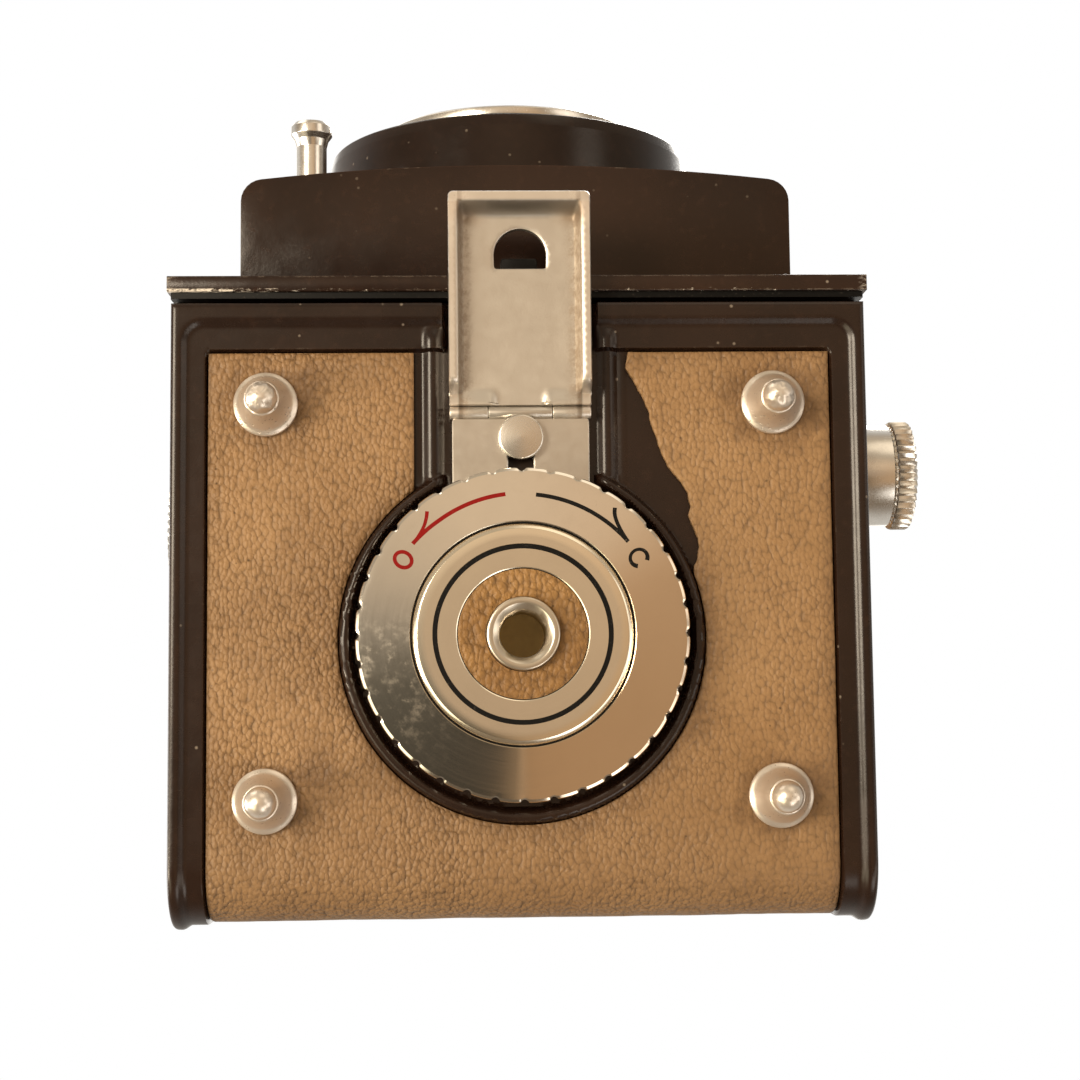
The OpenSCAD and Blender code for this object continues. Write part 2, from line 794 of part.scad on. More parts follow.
hood_back_flap();
magnifier_frame();
magnifier_lens();
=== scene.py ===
import json
import math
import random

import bmesh
import bpy
import numpy as np
from mathutils import Matrix, Vector
from mathutils import noise as mn
from mathutils.geometry import delaunay_2d_cdt

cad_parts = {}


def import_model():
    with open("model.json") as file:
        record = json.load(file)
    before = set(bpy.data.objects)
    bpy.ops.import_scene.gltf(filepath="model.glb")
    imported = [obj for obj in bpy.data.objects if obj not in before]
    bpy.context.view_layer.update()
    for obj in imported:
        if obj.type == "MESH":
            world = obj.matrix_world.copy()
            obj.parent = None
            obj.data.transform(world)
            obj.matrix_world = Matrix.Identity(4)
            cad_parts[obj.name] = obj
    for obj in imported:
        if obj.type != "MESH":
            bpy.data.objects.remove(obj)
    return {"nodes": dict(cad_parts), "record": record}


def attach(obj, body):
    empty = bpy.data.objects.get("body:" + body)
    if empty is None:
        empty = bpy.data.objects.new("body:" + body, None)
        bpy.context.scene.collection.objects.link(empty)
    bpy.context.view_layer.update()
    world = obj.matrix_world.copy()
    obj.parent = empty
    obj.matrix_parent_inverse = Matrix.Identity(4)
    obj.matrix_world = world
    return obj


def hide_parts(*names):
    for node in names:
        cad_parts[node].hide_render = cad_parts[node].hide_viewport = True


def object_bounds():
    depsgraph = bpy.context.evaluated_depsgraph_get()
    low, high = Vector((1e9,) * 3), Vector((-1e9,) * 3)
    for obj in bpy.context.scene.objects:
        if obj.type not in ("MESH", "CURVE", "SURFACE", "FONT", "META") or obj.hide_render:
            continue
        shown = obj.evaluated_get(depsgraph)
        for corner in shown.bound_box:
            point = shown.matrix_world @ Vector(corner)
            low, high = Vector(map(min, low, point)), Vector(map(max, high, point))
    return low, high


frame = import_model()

CAD_BOX = [list(v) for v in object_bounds()]
K = 0.001
NODES = frame["nodes"]
BODY_OF = {n: b for b, ns in frame["record"]["behaviour"]["bodies"].items() for n in ns}
SLOT_OF = {s["node"]: s["material_slot"] for s in frame["record"]["subparts"]}
sin, cos, pi = math.sin, math.cos, math.pi


# ------------------------------------------------------------------ materials
class Mat:
    """A small builder for procedural materials. self.p is the position in millimetres, in the row frame."""

    def __init__(self, name, bsdf=True):
        self.m = bpy.data.materials.new(name)
        self.m.use_nodes = True
        self.t = self.m.node_tree
        self.t.nodes.clear()
        self.out = self.t.nodes.new("ShaderNodeOutputMaterial")
        if bsdf:
            self.b = self.t.nodes.new("ShaderNodeBsdfPrincipled")
            self.t.links.new(self.b.outputs[0], self.out.inputs[0])
        tc = self.t.nodes.new("ShaderNodeTexCoord")
        self.obj = tc.outputs["Object"]
        self.p = self.vm("SCALE", self.obj, scale=1000.0)

    def put(self, sock, v):
        if isinstance(v, bpy.types.NodeSocket):
            self.t.links.new(v, sock)
        elif v is not None:
            if sock.type == "RGBA" and len(v) == 3:
                v = (*v, 1.0)
            sock.default_value = v

    def set(self, **kw):
        for k, v in kw.items():
            self.put(self.b.inputs[k.replace("_", " ")], v)

    def vm(self, op, a, b=None, scale=None, out=0):
        n = self.t.nodes.new("ShaderNodeVectorMath")
        n.operation = op
        self.put(n.inputs[0], a)
        if b is not None:
            self.put(n.inputs[1], b)
        if scale is not None:
            self.put(n.inputs["Scale"], scale)
        return n.outputs["Value"] if op in ("LENGTH", "DOT_PRODUCT", "DISTANCE") else n.outputs[0]

    def ma(self, op, a, b=None, c=None, clamp=False):
        n = self.t.nodes.new("ShaderNodeMath")
        n.operation = op
        n.use_clamp = clamp
        for i, v in enumerate((a, b, c)):
            if v is not None:
                self.put(n.inputs[i], v)
        return n.outputs[0]

    def mul(self, a, b):
        return self.ma("MULTIPLY", a, b)

    def add(self, a, b):
        return self.ma("ADD", a, b)

    def sub(self, a, b):
        return self.ma("SUBTRACT", a, b)

    def step(self, v, lo, hi, a=0.0, b=1.0):
        n = self.t.nodes.new("ShaderNodeMapRange")
        n.interpolation_type = "SMOOTHSTEP"
        self.put(n.inputs["Value"], v)
        for k, x in (("From Min", lo), ("From Max", hi), ("To Min", a), ("To Max", b)):
            self.put(n.inputs[k], x)
        return n.outputs[0]

    def noise(self, scale, detail=3.0, rough=0.5, vec=None, dist=0.0, colour=False):
        n = self.t.nodes.new("ShaderNodeTexNoise")
        self.put(n.inputs["Vector"], vec or self.p)
        n.inputs["Scale"].default_value = scale
        n.inputs["Detail"].default_value = detail
        n.inputs["Roughness"].default_value = rough
        n.inputs["Distortion"].default_value = dist
        return n.outputs["Color"] if colour else n.outputs[0]

    def voro(self, scale, feature="F1", vec=None, rand=1.0, out="Distance", smooth=None):
        n = self.t.nodes.new("ShaderNodeTexVoronoi")
        n.feature = feature
        self.put(n.inputs["Vector"], vec or self.p)
        n.inputs["Scale"].default_value = scale
        n.inputs["Randomness"].default_value = rand
        if smooth is not None and "Smoothness" in n.inputs:
            n.inputs["Smoothness"].default_value = smooth
        return n.outputs[out]

    def ramp(self, f, stops, interp="LINEAR"):
        n = self.t.nodes.new("ShaderNodeValToRGB")
        n.color_ramp.interpolation = interp
        e = n.color_ramp.elements
        while len(e) < len(stops):
            e.new(0.5)
        for el, (pos, col) in zip(e, stops):
            el.position = pos
            el.color = (*col, 1.0) if not isinstance(col, (int, float)) else (col, col, col, 1.0)
        self.put(n.inputs[0], f)
        return n.outputs[0]

    def mix(self, f, a, b, mode="MIX"):
        n = self.t.nodes.new("ShaderNodeMix")
        n.data_type = "RGBA"
        n.blend_type = mode
        self.put(n.inputs[0], f)
        self.put(n.inputs[6], a)
        self.put(n.inputs[7], b)
        return n.outputs[2]

    def bump(self, h, mm, strength=1.0, normal=None):
        n = self.t.nodes.new("ShaderNodeBump")
        n.inputs["Strength"].default_value = strength
        n.inputs["Distance"].default_value = mm * K
        self.put(n.inputs["Height"], h)
        if normal is not None:
            self.put(n.inputs["Normal"], normal)
        return n.outputs[0]

    def xyz(self, v=None):
        n = self.t.nodes.new("ShaderNodeSeparateXYZ")
        self.put(n.inputs[0], v or self.p)
        return n.outputs[0], n.outputs[1], n.outputs[2]

    def vec(self, x, y, z):
        n = self.t.nodes.new("ShaderNodeCombineXYZ")
        for i, v in enumerate((x, y, z)):
            self.put(n.inputs[i], v)
        return n.outputs[0]

    def edge(self, mm, lo=0.02, hi=0.25):
        """1 on edges of the mesh, 0 on its faces."""
        bv = self.t.nodes.new("ShaderNodeBevel")
        bv.samples = 4
        bv.inputs["Radius"].default_value = mm * K
        g = self.t.nodes.new("ShaderNodeNewGeometry")
        d = self.vm("DOT_PRODUCT", bv.outputs[0], g.outputs["Normal"])
        return self.step(self.sub(1.0, d), lo, hi)

    def polar(self, cx, cy):
        """radius and angle about a vertical axis, in millimetres and radians"""
        x, y, z = self.xyz()
        x, y = self.sub(x, cx), self.sub(y, cy)
        r = self.ma("SQRT", self.add(self.mul(x, x), self.mul(y, y)))
        return r, self.ma("ARCTAN2", x, self.mul(y, -1.0)), x, y


def brown(name, chips=0.25, light=1.0, rough=0.24, dust=0.5, chipped_edge=False):
    m = Mat(name)
    big = m.noise(0.06, 3)
    base = m.mix(m.step(big, 0.3, 0.7), (0.0125 * light, 0.0055 * light, 0.0032 * light), (0.0215 * light, 0.0098 * light, 0.0058 * light))
    base = m.mix(m.mul(m.step(m.noise(0.9, 4), 0.5, 0.8), 0.35), base, (0.038 * light, 0.018 * light, 0.011 * light))
    # dust and paint flecks
    cell = m.voro(0.55)
    pick = m.voro(0.55, out="Color")
    r, g, b = m.xyz(pick)
    fleck = m.mul(m.step(cell, 0.13, 0.05), m.step(r, 0.72, 0.78))
    fleck = m.mul(fleck, dust)
    base = m.mix(fleck, base, (0.30, 0.25, 0.20))
    edge = m.edge(0.35)
    worn = m.mul(edge, m.step(m.noise(0.8, 5, 0.65), 0.60 - 0.18 * chips, 0.66 - 0.12 * chips))
    base = m.mix(m.mul(edge, 0.30), base, (0.055 * light, 0.025 * light, 0.014 * light))
    base = m.mix(m.mul(worn, min(1.0, chips * 1.6)), base, (0.55, 0.47, 0.38))
    if chipped_edge:
        x, y, z = m.xyz()
        near = m.mul(m.step(z, 4.9, 4.5), m.step(y, -38.36, -38.16))
        nz = m.noise(1.9, 6, 0.75, vec=m.vm("MULTIPLY", m.p, (0.6, 1.6, 1.6)))
        lot = m.step(nz, m.step(x, -22.0, -36.0, 0.61, 0.44), m.step(x, -22.0, -36.0, 0.66, 0.50))
        tips = m.mul(m.mul(m.step(m.ma("ABSOLUTE", x), 37.4, 38.3), m.step(z, 7.0, 5.0)), m.step(nz, 0.50, 0.60))
        base = m.mix(m.ma("MAXIMUM", m.mul(near, lot), m.mul(tips, 0.35)), base, (0.72, 0.66, 0.58))
    scr = m.noise(0.5, 5, 0.7, vec=m.vm("MULTIPLY", m.p, (1.0, 9.0, 1.0)))
    ro = m.add(m.mul(m.noise(0.35, 4), 0.16), rough - 0.08)
    ro = m.add(ro, m.mul(m.step(scr, 0.6, 0.8), 0.10))
    n1 = m.bump(m.noise(0.22, 2), 0.10, 0.35)
    n2 = m.bump(m.add(m.noise(2.6, 3), m.mul(worn, -1.5)), 0.010, 0.8, n1)
    m.set(Base_Color=base, Roughness=ro, Normal=n2, IOR=1.44, Coat_Weight=0.08, Coat_Roughness=0.08)
    return m.m


def leather(name, a, b, bottom=False, scale=1.0, stretch=(1.0, 0.72, 1.0)):
    m = Mat(name)
    warp = m.noise(0.55 * scale, 3, colour=True)
    v = m.vm("MULTIPLY", m.vm("ADD", m.p, m.vm("SCALE", warp, scale=0.55 / scale)), stretch)
    cell = m.voro(1.95 * scale, "F1", vec=v, rand=0.85)
    cell = m.mul(cell, cell)
    cell2 = m.voro(3.6 * scale, "SMOOTH_F1", vec=v, smooth=0.4)
    soft = m.noise(1.35 * scale, 3, 0.55, vec=v)
    grainy = m.step(m.noise(0.11, 2), 0.35, 0.65, 0.55, 1.0)
    h = m.sub(m.mul(soft, 1.0), m.mul(cell, 1.5))
    h = m.sub(h, m.mul(cell2, 0.30))
    low = m.step(h, 0.0, -0.60)
    dark = tuple(c * 0.50 for c in a)
    base = m.mix(m.step(m.noise(0.07, 4), 0.32, 0.68), a, b)
    base = m.mix(m.mul(m.step(m.noise(0.35, 5, 0.6), 0.45, 0.8), 0.45), base, tuple(c * 0.78 for c in a))
    base = m.mix(m.mul(low, 0.42), base, dark)
    base = m.mix(m.mul(m.step(h, 0.05, 0.35), 0.25), base, tuple(min(1.0, c * 1.22) for c in b))
    # pores and soil specks
    sp = m.voro(0.85, vec=m.p)
    spc, spd, _ = m.xyz(m.voro(0.85, vec=m.p, out="Color"))
    speck = m.mul(m.step(sp, m.add(0.06, m.mul(spd, 0.14)), 0.02), m.step(spc, 0.50, 0.56))
    speck = m.mul(speck, m.step(m.noise(0.12, 3), 0.36, 0.58))
    base = m.mix(m.mul(speck, 0.85), base, (0.040, 0.022, 0.011))
    fine = m.step(m.noise(2.4, 5, 0.75), 0.60, 0.72)
    base = m.mix(m.mul(fine, 0.32), base, (0.12, 0.062, 0.026))
    if bottom:
        x, y, z = m.xyz()
        ax = m.ma("ABSOLUTE", x)
        soil_and_shadow = None
        lump = m.noise(0.28, 4, 0.6)
        for fx, fy, w in ((27.7, -25.3, 7.5), (27.7, 17.5, 6.0)):
            dx, dy = m.sub(ax, fx), m.sub(y, fy)
            d = m.ma("SQRT", m.add(m.mul(dx, dx), m.mul(dy, dy)))
            s = m.step(m.add(d, m.mul(m.sub(lump, 0.5), 7.0)), w, 3.2)
            soil_and_shadow = s if soil_and_shadow is None else m.ma("MAXIMUM", soil_and_shadow, s)
        # painted shadows of the feet, each on the side away from the light
        for fx, fy, w in ((-23.6, -27.6, 4.6), (-22.2, 14.6, 4.2), (32.3, -24.0, 3.2), (31.9, 16.0, 3.2)):
            dx, dy = m.sub(x, fx), m.sub(y, fy)
            d = m.ma("SQRT", m.add(m.mul(dx, dx), m.mul(dy, dy)))
            s = m.step(m.add(d, m.mul(m.sub(lump, 0.5), 5.0)), w, 0.6)
            soil_and_shadow = m.ma("MAXIMUM", soil_and_shadow, s)
        r, _, _, _ = m.polar(0.0, 0.4)
        ring = m.step(m.add(r, m.mul(m.sub(lump, 0.5), 5.0)), 23.5, 19.8)
        soil_and_shadow = m.ma("MAXIMUM", m.mul(soil_and_shadow, 0.85), m.mul(ring, 0.80))
        side = m.step(m.add(ax, m.mul(m.sub(lump, 0.5), 4.0)), 31.5, 34.4)
        soil_and_shadow = m.ma("MAXIMUM", soil_and_shadow, m.mul(side, 0.60))
        front = m.step(m.add(y, m.mul(m.sub(lump, 0.5), -5.0)), -27.5, -31.6)
        soil_and_shadow = m.ma("MAXIMUM", soil_and_shadow, m.mul(front, 0.40))
        left = m.mul(m.step(x, -14.0, -24.0), m.step(m.noise(0.09, 3), 0.40, 0.62))
        soil_and_shadow = m.ma("MAXIMUM", soil_and_shadow, m.mul(left, 0.42))
        near = m.mul(m.step(m.vm("DISTANCE", m.vec(x, m.mul(y, 0.7), 0.0), (-22.5, 0.5, 0.0)), 9.0, 2.0), m.step(m.noise(0.5, 5, 0.7), 0.35, 0.6))
        soil_and_shadow = m.ma("MAXIMUM", soil_and_shadow, m.mul(near, 0.8))
        grit = m.step(m.noise(0.9, 5, 0.7), 0.30, 0.62)
        soil_and_shadow = m.mul(soil_and_shadow, m.add(0.35, m.mul(grit, 0.65)))
        base = m.mix(m.mul(soil_and_shadow, 0.66), base, (0.105, 0.055, 0.024))
        # painted shade: the leather gets darker towards the rear (larger y), where less light falls
        base = m.mix(m.step(y, 6.0, 27.0, 0.0, 0.26), base, (0.13, 0.075, 0.035))
        grainy = m.mul(grainy, m.step(x, 30.0, -10.0, 0.60, 1.0))
    n1 = m.bump(m.noise(0.30, 3), 0.30, 0.5)
    n2 = m.bump(m.mul(h, grainy), 0.20 / scale, 0.9, n1)
    n3 = m.bump(m.sub(m.noise(7.0, 2), m.mul(speck, 2.0)), 0.012, 0.6, n2)
    ro = m.add(0.40, m.mul(m.noise(0.6, 4), 0.22))
    m.set(Base_Color=base, Roughness=ro, Normal=n3, IOR=1.45)
    return m.m


def metal(name, col=(0.78, 0.76, 0.72), rough=0.25, stain=0.25, brush=None, brush_mm=0.004, edge=0.0, pit=0.0, dirt=(0.20, 0.13, 0.07), body=0.0):
    m = Mat(name)
    cloud = m.noise(0.25, 4)
    base = m.mix(cloud, tuple(c * 0.86 for c in col), tuple(min(1, c * 1.06) for c in col))
    spots = m.step(m.noise(1.1, 6, 0.7), 0.58, 0.72)
    patch = m.step(m.noise(0.18, 4, 0.6), 0.50, 0.72)
    grime = m.mul(m.ma("MAXIMUM", m.mul(spots, 0.6), patch), stain)
    if brush:
        g = m.noise(1.0, 3, 0.6, vec=m.vm("MULTIPLY", m.p, brush))
    else:
        g = m.noise(5.0, 3, 0.6)
    h = g
    if pit:
        pits = m.step(m.voro(2.2), 0.30, 0.10)
        pits = m.mul(pits, m.step(m.noise(0.7, 3), 0.45, 0.60))
        h = m.sub(h, m.mul(pits, 3.0 * pit))
        grime = m.ma("MAXIMUM", grime, m.mul(pits, 0.6))
    base = m.mix(grime, base, dirt)
    if edge:
        base = m.mix(m.mul(m.edge(0.25), edge), base, (0.95, 0.93, 0.88))
    ro = m.add(m.mul(m.noise(0.8, 4), 0.12), rough - 0.06)
    ro = m.add(ro, m.mul(grime, 0.30))
    ro = m.add(ro, m.mul(m.step(g, 0.55, 0.8), 0.06))
    m.set(Base_Color=base, Metallic=m.mul(1.0 - body, m.sub(1.0, m.mul(grime, 0.75))), Roughness=ro, Normal=m.bump(h, brush_mm, 0.8))
    return m.m


def turned_metal(name, cx, cy, col, rough, cone=0.0, ring_mm=0.002, patina=0.25):
    """Turned face: fine circles, and a slight outward lean of the surface."""
    m = Mat(name)
    r, a, x, y = m.polar(cx, cy)
    circ = m.noise(1.0, 4, 0.6, vec=m.vec(m.mul(r, 5.0), m.mul(a, 0.9), 0.0))
    fine = m.noise(1.0, 2, 0.5, vec=m.vec(m.mul(r, 14.0), m.mul(a, 1.6), 3.0))
    cloud = m.noise(0.22, 5, 0.6)
    base = m.mix(cloud, tuple(c * 0.90 for c in col), tuple(min(1.0, c * 1.05) for c in col))
    spots = m.step(m.noise(1.7, 6, 0.75), 0.60, 0.74)
    grime = m.mul(m.ma("MAXIMUM", m.mul(spots, m.step(m.noise(0.16, 3), 0.42, 0.66)), m.mul(m.step(cloud, 0.55, 0.8), 0.5)), patina)
    base = m.mix(grime, base, (0.30, 0.25, 0.19))
    if cone > 0.08:
        # painted reflection: the face is painted dark over the quadrant between +Y and -X and warm over the +X side,
        # standing in for the room reflected in it; cloudy smudges towards the left end of the dark quadrant are rougher
        # and painted lighter
        f = m.ma("FRACT", m.add(m.mul(a, 1 / (2 * pi)), 1.0))
        cl = m.mul(m.sub(m.noise(0.42, 5, 0.7), 0.5), 0.16)
        # q: the painted dark reflection over one quadrant
        q = m.mul(m.step(f, 0.500, 0.512), m.step(m.add(f, cl), 0.79, 0.66))
        smudges_and_sheen = m.mul(m.step(m.noise(0.75, 6, 0.75), 0.47, 0.66), m.mul(m.step(f, 0.56, 0.66), m.step(f, 0.80, 0.72)))
        base = m.mix(m.mul(q, 0.36), base, (0.14, 0.118, 0.080))
        base = m.mix(m.mul(smudges_and_sheen, 0.16), base, (1.0, 0.90, 0.70))
        ro_marks = m.mul(smudges_and_sheen, 0.10)
        # painted warm reflection over the +X side
        painted_warm_reflection = m.mul(m.step(f, 0.10, 0.20), m.step(f, 0.512, 0.49))
        base = m.mix(m.mul(painted_warm_reflection, 0.55), base, (0.66, 0.50, 0.34))
    ro = m.add(rough, m.mul(m.sub(circ, 0.5), 0.10))
    ro = m.add(ro, m.mul(grime, 0.25))
    if cone > 0.08:
        ro = m.add(ro, ro_marks)
    n0 = None
    if cone:
        g = m.t.nodes.new("ShaderNodeNewGeometry")
        tr = m.t.nodes.new("ShaderNodeVectorTransform")
        tr.vector_type = "VECTOR"
        tr.convert_from = "OBJECT"
        tr.convert_to = "WORLD"
        m.put(tr.inputs[0], m.vec(x, y, 0.0))
        rad = m.vm("NORMALIZE", tr.outputs[0])
        flat = m.step(m.vm("DOT_PRODUCT", rad, g.outputs["Normal"]), 0.25, 0.05)
        n0 = m.vm("NORMALIZE", m.vm("ADD", g.outputs["Normal"], m.vm("SCALE", rad, scale=m.mul(flat, cone))))
    n1 = m.bump(m.add(circ, m.mul(fine, 0.5)), ring_mm, 0.7, n0)
    m.set(Base_Color=base, Metallic=1.0, Roughness=ro, Normal=n1)
    return m.m


def paint(name, col, rough=0.35, wear=0.25):
    m = Mat(name)
    w = m.step(m.noise(3.2, 5, 0.7), 0.60, 0.70)
    base = m.mix(m.noise(1.2, 3), tuple(c * 0.75 for c in col), tuple(c * 1.2 for c in col))
    base = m.mix(m.mul(w, wear), base, (0.45, 0.40, 0.33))
    m.set(Base_Color=base, Roughness=m.add(rough, m.mul(w, 0.2)), Normal=m.bump(m.noise(6.0, 3), 0.01, 0.6))
    m.b.inputs["Specular IOR Level"].default_value = 0.18
    return m.m


def matte(name, col, rough=0.6, glow=0.0):
    m = Mat(name)
    base = m.mix(m.noise(0.3, 4), tuple(c * 0.7 for c in col), tuple(c * 1.3 for c in col))
    dust = m.mul(m.step(m.noise(2.4, 5, 0.7), 0.62, 0.72), 0.35)
    base = m.mix(dust, base, (0.12, 0.10, 0.08))
    m.set(Base_Color=base, Roughness=m.add(rough - 0.1, m.mul(m.noise(1.0, 3), 0.2)), Normal=m.bump(m.noise(4.0, 4), 0.02, 0.7))
    m.b.inputs["Specular IOR Level"].default_value = 0.25
    # painted light: with glow the surface shines by itself
    if glow:
        m.set(Emission_Color=m.mix(m.noise(1.5, 4), tuple(c * 0.5 for c in col), col))
        m.b.inputs["Emission Strength"].default_value = glow
    return m.m


def glass(name, tint=(0.80, 0.86, 0.95), coat=(0.45, 0.35, 0.95)):
    m = Mat(name)
    lw = m.t.nodes.new("ShaderNodeLayerWeight")
    lw.inputs[0].default_value = 0.35
    smear = m.noise(0.25, 4)
    base = m.mix(lw.outputs["Facing"], tint, tuple(0.5 * (a + b) for a, b in zip(tint, coat)))
    ro = m.add(0.02, m.mul(m.step(smear, 0.5, 0.8), 0.05))
    m.set(Base_Color=base, Roughness=ro, IOR=1.52, Normal=m.bump(m.noise(1.5, 3), 0.001, 0.3))
    m.b.inputs["Transmission Weight"].default_value = 0.88
    m.b.inputs["Specular Tint"].default_value = (*coat, 1.0)
    return m.m


def mirror(name):
    m = Mat(name)
    f = m.step(m.noise(0.5, 6, 0.7), 0.62, 0.75)
    m.set(Base_Color=m.mix(f, (0.88, 0.89, 0.90), (0.45, 0.42, 0.38)), Metallic=1.0, Roughness=m.add(0.02, m.mul(f, 0.2)), Normal=m.bump(m.noise(2.0, 2), 0.001, 0.3))
    return m.m


M = {
    "brown": brown("brown_enamel", 0.20),
    "brown_door": brown("brown_enamel_door", 0.06, 0.92, 0.27, dust=0.6),
    "brown_flange": brown("brown_enamel_flange", 0.75, 1.15, 0.22, dust=0.8, chipped_edge=True),
    "brown_front": brown("brown_enamel_front", 0.12, 1.15, 0.20, dust=0.25),
    "brown_ring": brown("brown_enamel_shutter", 0.15, 0.85, 0.20, dust=0.4),
    "leather_bottom": leather("tan_leather_bottom", (0.275, 0.156, 0.066), (0.335, 0.197, 0.088), bottom=True),
    "leather_side": leather("tan_leather_side", (0.300, 0.172, 0.075), (0.365, 0.216, 0.098), stretch=(1.0, 1.0, 0.72)),
    "leather_disc": leather("tan_leather_disc", (0.215, 0.108, 0.032), (0.320, 0.172, 0.055), scale=0.85),
    "satin": metal("satin_metal", (0.74, 0.72, 0.68), 0.32, 0.15),
    "tab": metal("stamped_metal", (0.80, 0.78, 0.74), 0.40, 0.10, brush_mm=0.006),
    "plate": metal("latch_plate_metal", (0.69, 0.655, 0.60), 0.36, 0.10, brush=(0.6, 9.0, 1.0)),
    "bright": metal("polished_metal", (0.86, 0.84, 0.80), 0.23, 0.12, edge=0.2),
    "foot": metal("foot_metal", (0.84, 0.765, 0.68), 0.32, 0.16, pit=0.35, edge=0.2, body=0.22),
    "foot_pitted": metal("foot_metal_pitted", (0.82, 0.745, 0.66), 0.34, 0.30, body=0.22, pit=1.0, brush_mm=0.02, edge=0.3, dirt=(0.16, 0.09, 0.04)),
    "dial": turned_metal("turned_dial_metal", 0, 0, (0.86, 0.83, 0.77), 0.13, cone=0.105, patina=0.25),
    "boss": turned_metal("turned_boss_metal", 0, 0, (0.95, 0.88, 0.74), 0.20, cone=0.0, patina=0.25),
    "bush": turned_metal("turned_bush_metal", 0, 0, (0.72, 0.66, 0.56), 0.30, cone=0.0, patina=0.35),
    "stud": turned_metal("turned_stud_metal", 0, -21.4, (0.82, 0.79, 0.74), 0.27, cone=0.05, patina=0.12),
    "black": matte("black_paint", (0.012, 0.012, 0.012)),
    "black_line": paint("black_line_paint", (0.004, 0.004, 0.004), 0.45, 0.10),
    "black_mark": paint("black_mark_paint", (0.006, 0.006, 0.006), 0.4, 0.40),
    "red_mark": paint("red_mark_paint", (0.24, 0.006, 0.005), 0.4, 0.12),
    "glass": glass("coated_glass"),
    "screen": glass("ground_glass", (0.85, 0.87, 0.86), (0.8, 0.8, 0.8)),
    "mirror": mirror("silvered_mirror"),
    "spool": paint("spool_paint", (0.26, 0.035, 0.02), 0.3, 0.2),
    # socket soil, self-lit: painted light that makes the shaded socket floor read lighter
    "dirt": matte("socket_soil_self_lit", (0.20, 0.115, 0.035), 0.75, glow=0.42),
}


def tab_metal():
    m = Mat("stamped_tab_metal")
    x, y, z = m.xyz()
    ex = m.sub(7.75, m.ma("ABSOLUTE", x))
    ef = m.add(y, 48.3)
    cloud = m.noise(0.22, 4)
    base = m.mix(cloud, (0.62, 0.585, 0.53), (0.71, 0.67, 0.61))
    wob = m.mul(m.sub(m.noise(0.9, 5, 0.65), 0.5), 1.6)
    side = m.mul(m.step(m.add(ex, wob), 3.1, 1.5), m.step(ex, 0.95, 1.25))
    side = m.mul(side, m.add(0.25, m.mul(m.step(m.noise(1.4, 5, 0.7), 0.38, 0.62), 0.75)))
    front = m.mul(m.step(m.add(ef, wob), 4.6, 2.2), m.step(ef, 0.95, 1.3))
    corner = m.mul(front, m.step(ex, 5.2, 2.2))
    hole = m.step(m.add(m.vm("DISTANCE", m.vec(x, y, 0.0), (-2.9, -41.4, 0.0)), wob), 2.4, 0.6)
    stain = m.ma("MAXIMUM", m.ma("MAXIMUM", m.mul(side, 0.62), m.mul(corner, 0.70)), m.mul(hole, 0.30))
    specks = m.mul(m.step(m.noise(2.6, 6, 0.75), 0.66, 0.74), 0.45)
    stain = m.ma("MAXIMUM", stain, m.mul(specks, m.step(y, -26.0, -38.0, 0.35, 1.0)))
    base = m.mix(stain, base, (0.26, 0.165, 0.085))
    # painted shade: the inner side walls and the front inner wall are painted darker, where shade falls
    side_wall_shade = m.mul(m.step(ex, 0.98, 1.10), m.step(ex, 1.72, 1.30))
    front_wall_shade = m.mul(m.step(ef, 0.98, 1.15), m.step(ef, 2.75, 1.5))
    base = m.mix(m.mul(side_wall_shade, 0.62), base, (0.20, 0.145, 0.10))
    base = m.mix(m.mul(m.mul(front_wall_shade, m.step(ex, 1.0, 1.4)), 0.80), base, (0.17, 0.15, 0.125))
    rim = m.ma("MAXIMUM", m.step(ex, 1.0, 0.85), m.step(ef, 1.0, 0.85))
    # painted highlight: the rim tops are painted lighter
    base = m.mix(m.mul(rim, 0.35), base, (0.95, 0.86, 0.78))
    base = m.mix(m.mul(m.step(m.noise(1.8, 5, 0.7), 0.60, 0.72), m.mul(rim, 0.35)), base, (0.35, 0.28, 0.22))
    ro = m.add(m.add(0.36, m.mul(m.noise(0.7, 4), 0.12)), m.mul(stain, 0.2))
    grain = m.noise(5.0, 3, 0.6)
    n = m.bump(m.add(grain, m.mul(m.noise(1.1, 3), 1.2)), 0.007, 0.9)
    m.set(Base_Color=base, Metallic=m.sub(1.0, m.mul(stain, 0.6)), Roughness=ro, Normal=n)
    return m.m


M["tab"] = tab_metal()
M["screen"].node_tree.nodes["Principled BSDF"].inputs["Roughness"].default_value = 0.5


# ------------------------------------------------------------------ meshes
def make(name, V, F, mat, node=None, body=None, slot=None, smooth=32, recalc=True):
    """One piece, from vertices in millimetres."""
    me = bpy.data.meshes.new(name)
    me.from_pydata([(x * K, y * K, z * K) for x, y, z in V], [], F)
    if recalc:
        bm = bmesh.new()
        bm.from_mesh(me)
        bmesh.ops.remove_doubles(bm, verts=bm.verts, dist=2e-7)
        bmesh.ops.recalc_face_normals(bm, faces=bm.faces)
        bm.to_mesh(me)
        bm.free()
    me.polygons.foreach_set("use_smooth", [True] * len(me.polygons))
    me.set_sharp_from_angle(angle=math.radians(smooth))
    me.materials.append(M[mat])
    me.update()
    o = bpy.data.objects.new(name, me)
    bpy.context.scene.collection.objects.link(o)
    if node:
        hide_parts(node)
        body = body or BODY_OF[node]
        slot = slot or SLOT_OF[node]
    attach(o, body)
    return o


def zaxis(x0, y0):
    return lambda u, v, w: (x0 + u, y0 + v, w)


def yaxis(x0, z0):
    return lambda u, v, w: (x0 + u, -w, z0 + v)


def xaxis(y0, z0):
    return lambda u, v, w: (w, y0 + u, z0 + v)


